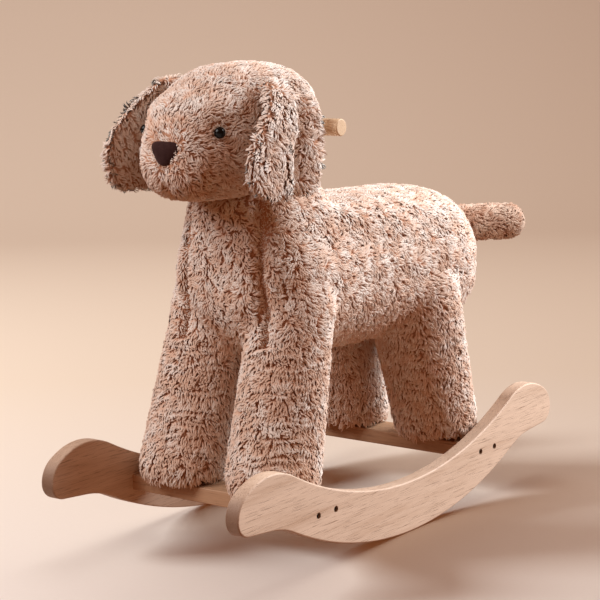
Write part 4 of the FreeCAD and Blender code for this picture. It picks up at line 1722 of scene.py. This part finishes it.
@dataclass
class Joinery:
    """The wood, metal and plastic pieces, which keep their CAD shapes."""

    rocker_light: Colour = (0.76, 0.59, 0.45)
    rocker_dark: Colour = (0.60, 0.42, 0.29)
    # painted shade: the boards' colours are darker than the rockers' to stand in for the shade
    # under the puppy
    board_light_with_painted_shade: Colour = (0.52, 0.32, 0.19)
    board_dark_with_painted_shade: Colour = (0.38, 0.22, 0.125)
    timber_light: Colour = (0.74, 0.58, 0.38)
    timber_dark: Colour = (0.60, 0.44, 0.27)
    timber_pore: Colour = (0.40, 0.25, 0.14)
    grip_light: Colour = (0.92, 0.71, 0.47)
    grip_dark: Colour = (0.78, 0.56, 0.34)
    grip_pore: Colour = (0.45, 0.27, 0.12)
    pore: Colour = (0.24, 0.12, 0.06)

    def finish_rockers(self) -> None:
        """Long grain on the two blades, each from its own plank."""
        for side in Side:
            # the blades' ends take the full darkening: end grain and painted shade on the front
            # ends
            wood = WoodFinish(f"{side.word}_rocker_wood", Grain.ALONG_Y, self.rocker_light,
                              self.rocker_dark, self.pore, end_grain_and_painted_shade=1.0, roughness=0.5,
                              offset=(0.0, 0.0, 1.7 * side.value))
            self.dress(wood.material(), f"{side.word}_rocker")

    def finish_boards(self) -> None:
        """Grain along the cross boards, in colours painted darker than the rockers' as painted
        shade for the boards under the puppy.
        """
        for number, end in enumerate(("front", "rear")):
            wood = WoodFinish(f"{end}_board_wood", Grain.ALONG_X, self.board_light_with_painted_shade,
                              self.board_dark_with_painted_shade, self.pore, end_grain_and_painted_shade=0.4, roughness=0.55,
                              offset=(0.4 * number, 0.9 * number, 0.3))
            self.dress(wood.material(), f"{end}_cross_board")

    def finish_frame(self) -> None:
        """Plain planed timber inside the puppy."""
        upright = WoodFinish("post_timber", Grain.ALONG_Z, self.timber_light, self.timber_dark,
                             self.timber_pore, end_grain_and_painted_shade=0.3, roughness=0.7)
        level = WoodFinish("seat_board_timber", Grain.ALONG_Y, self.timber_light,
                           (0.58, 0.42, 0.26), self.timber_pore, end_grain_and_painted_shade=0.3, roughness=0.7)
        posts = [f"{end}_{side.word}_leg_post" for end in ("front", "rear") for side in Side]
        self.dress(upright.material(), "neck_post", *posts)
        self.dress(level.material(), "seat_board")

    def finish_grip(self) -> None:
        """Pale turned wood, sanded smooth."""
        wood = WoodFinish("grip_wood", Grain.ALONG_X, self.grip_light, self.grip_dark,
                          self.grip_pore, end_grain_and_painted_shade=0.25, roughness=0.42)
        self.dress(wood.material(), "handle")

    def finish_hardware(self) -> None:
        """Dark plated screws, brass inserts, polished eyes and their washers."""
        steel = HardFinish("dark_steel", (0.10, 0.09, 0.085), (0.30, 0.28, 0.26), 0.36, 1.0)
        brass = HardFinish("turned_brass", (0.62, 0.44, 0.18), (0.80, 0.62, 0.30), 0.3, 1.0)
        bead = HardFinish("eye_bead", (0.002, 0.002, 0.002), (0.005, 0.004, 0.004), 0.2,
                          gloss=0.22)
        plastic = HardFinish("washer_plastic", (0.80, 0.79, 0.76), (0.68, 0.66, 0.62), 0.45)
        self.dress(steel.material(), "left_rocker_screws", "right_rocker_screws",
                   "leg_bolts", "seat_board_screws", "neck_post_screws",
                   "handle_lock_screw")
        self.dress(brass.material(), "leg_bolt_inserts")
        self.dress(bead.material(), "left_eye", "right_eye")
        self.dress(plastic.material(), "eye_washers")

    def dress(self, material: bpy.types.Material, *nodes: str) -> None:
        """Gives CAD nodes a material in place of their plain one.

        Args:
            material: the finish.
            nodes: the nodes' names.
        """
        for node in nodes:
            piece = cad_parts[node]
            for slot in piece.material_slots:
                slot.material = material
            LOG.info("dressed %s in %s", node, material.name)

    def finish_all(self) -> None:
        """Dresses every CAD piece that stays."""
        self.finish_rockers()
        self.finish_boards()
        self.finish_frame()
        self.finish_grip()
        self.finish_hardware()


# ------------------------------------------------------------------ assembly


class PuppyRocker:
    """The whole toy."""

    def __init__(self) -> None:
        """Sets up the parts with their coats."""
        self.body = PuppyBody(FurCoat(), FurCoat(length=9.4 * MM, stand=0.55, swirl=0.3,
                                                 flow=0.35, gather=0.16, ruffle=1.7,
                                                 ruffle_rise=11.0 * MM))
        self.head = PuppyHead(FurCoat(spacing=1.9 * MM, length=9.5 * MM, width=1.9 * MM,
                                      wisp=6.0 * MM, swirl=0.4, flow=0.7, stand=0.44,
                                      gather=0.3, parting=15.0 * MM))
        ear_coat = FurCoat(spacing=1.95 * MM, length=10.5 * MM, width=2.1 * MM,
                           wisp=8.0 * MM, swirl=0.5, gather=0.4, parting=12.0 * MM)
        self.ears = [PuppyEar(side, ear_coat) for side in Side]
        self.tail = PuppyTail(FurCoat(length=10.0 * MM, swirl=0.4))

    def build(self) -> None:
        """Builds every soft piece and puts it on its body."""
        fur = FurFinish("puppy_fur").material()
        # painted light: the ears' fur is a paler copy of the coat's finish, standing in for
        # light that the lamps don't bring to the ears
        ear_fur = FurFinish("ear_fur", middle=(0.80, 0.52, 0.37), tip_warm=(0.90, 0.73, 0.61),
                            tip_pale=(0.99, 0.94, 0.88)).material()
        # painted shade: the tail's fur is a darker copy of the coat's finish, standing in for
        # the shade the tail lies in
        tail_fur = FurFinish("tail_fur", root=(0.28, 0.11, 0.06), middle=(0.46, 0.23, 0.14),
                             tip_warm=(0.60, 0.37, 0.26), tip_pale=(0.86, 0.70, 0.57)).material()
        backing = SkinFinish("puppy_backing").material()
        ear_skins = [ear.build() for ear in self.ears]
        head_skin = self.head.build()
        body_skin = self.body.build()
        tail_skin = self.tail.build()
        self.settle(body_skin, self.body.dress(body_skin, head_skin), ROOT_BODY, fur, backing)
        self.settle(head_skin, self.head.dress(head_skin, ear_skins), ROOT_BODY, fur, backing)
        for ear, skin in zip(self.ears, ear_skins):
            self.settle(skin, ear.dress(skin), EAR_BODIES[ear.side.word], ear_fur, backing)
        self.settle(tail_skin, self.tail.dress(tail_skin), TAIL_BODY, tail_fur, backing)
        nose = PuppyNose().build()
        nose.data.materials.append(ClothFinish("nose_cloth").material())
        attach(nose, ROOT_BODY)
        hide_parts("nose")

    def settle(self, skin: Skin, locks: Sequence[bpy.types.Object], body: str,
               fur: bpy.types.Material, backing: bpy.types.Material) -> None:
        """Gives a skin and its fur their finishes and the body they ride on.

        Args:
            skin: the skin.
            locks: the fur's pieces on it.
            body: the body that they move with.
            fur: the fur's finish.
            backing: the skin's finish.
        """
        skin.piece.data.materials.clear()
        skin.piece.data.materials.append(backing)
        for piece in locks:
            piece.data.materials.append(fur)
        for piece in [skin.piece, *locks]:
            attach(piece, body)
            LOG.info("%s rides on %s, %d faces", piece.name, body, len(piece.data.polygons))


def main() -> None:
    """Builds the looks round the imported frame."""
    logging.basicConfig(level=logging.INFO, format="%(message)s")
    Studio().build()
    Joinery().finish_all()
    PuppyRocker().build()


if __name__ == "__main__":
    main()
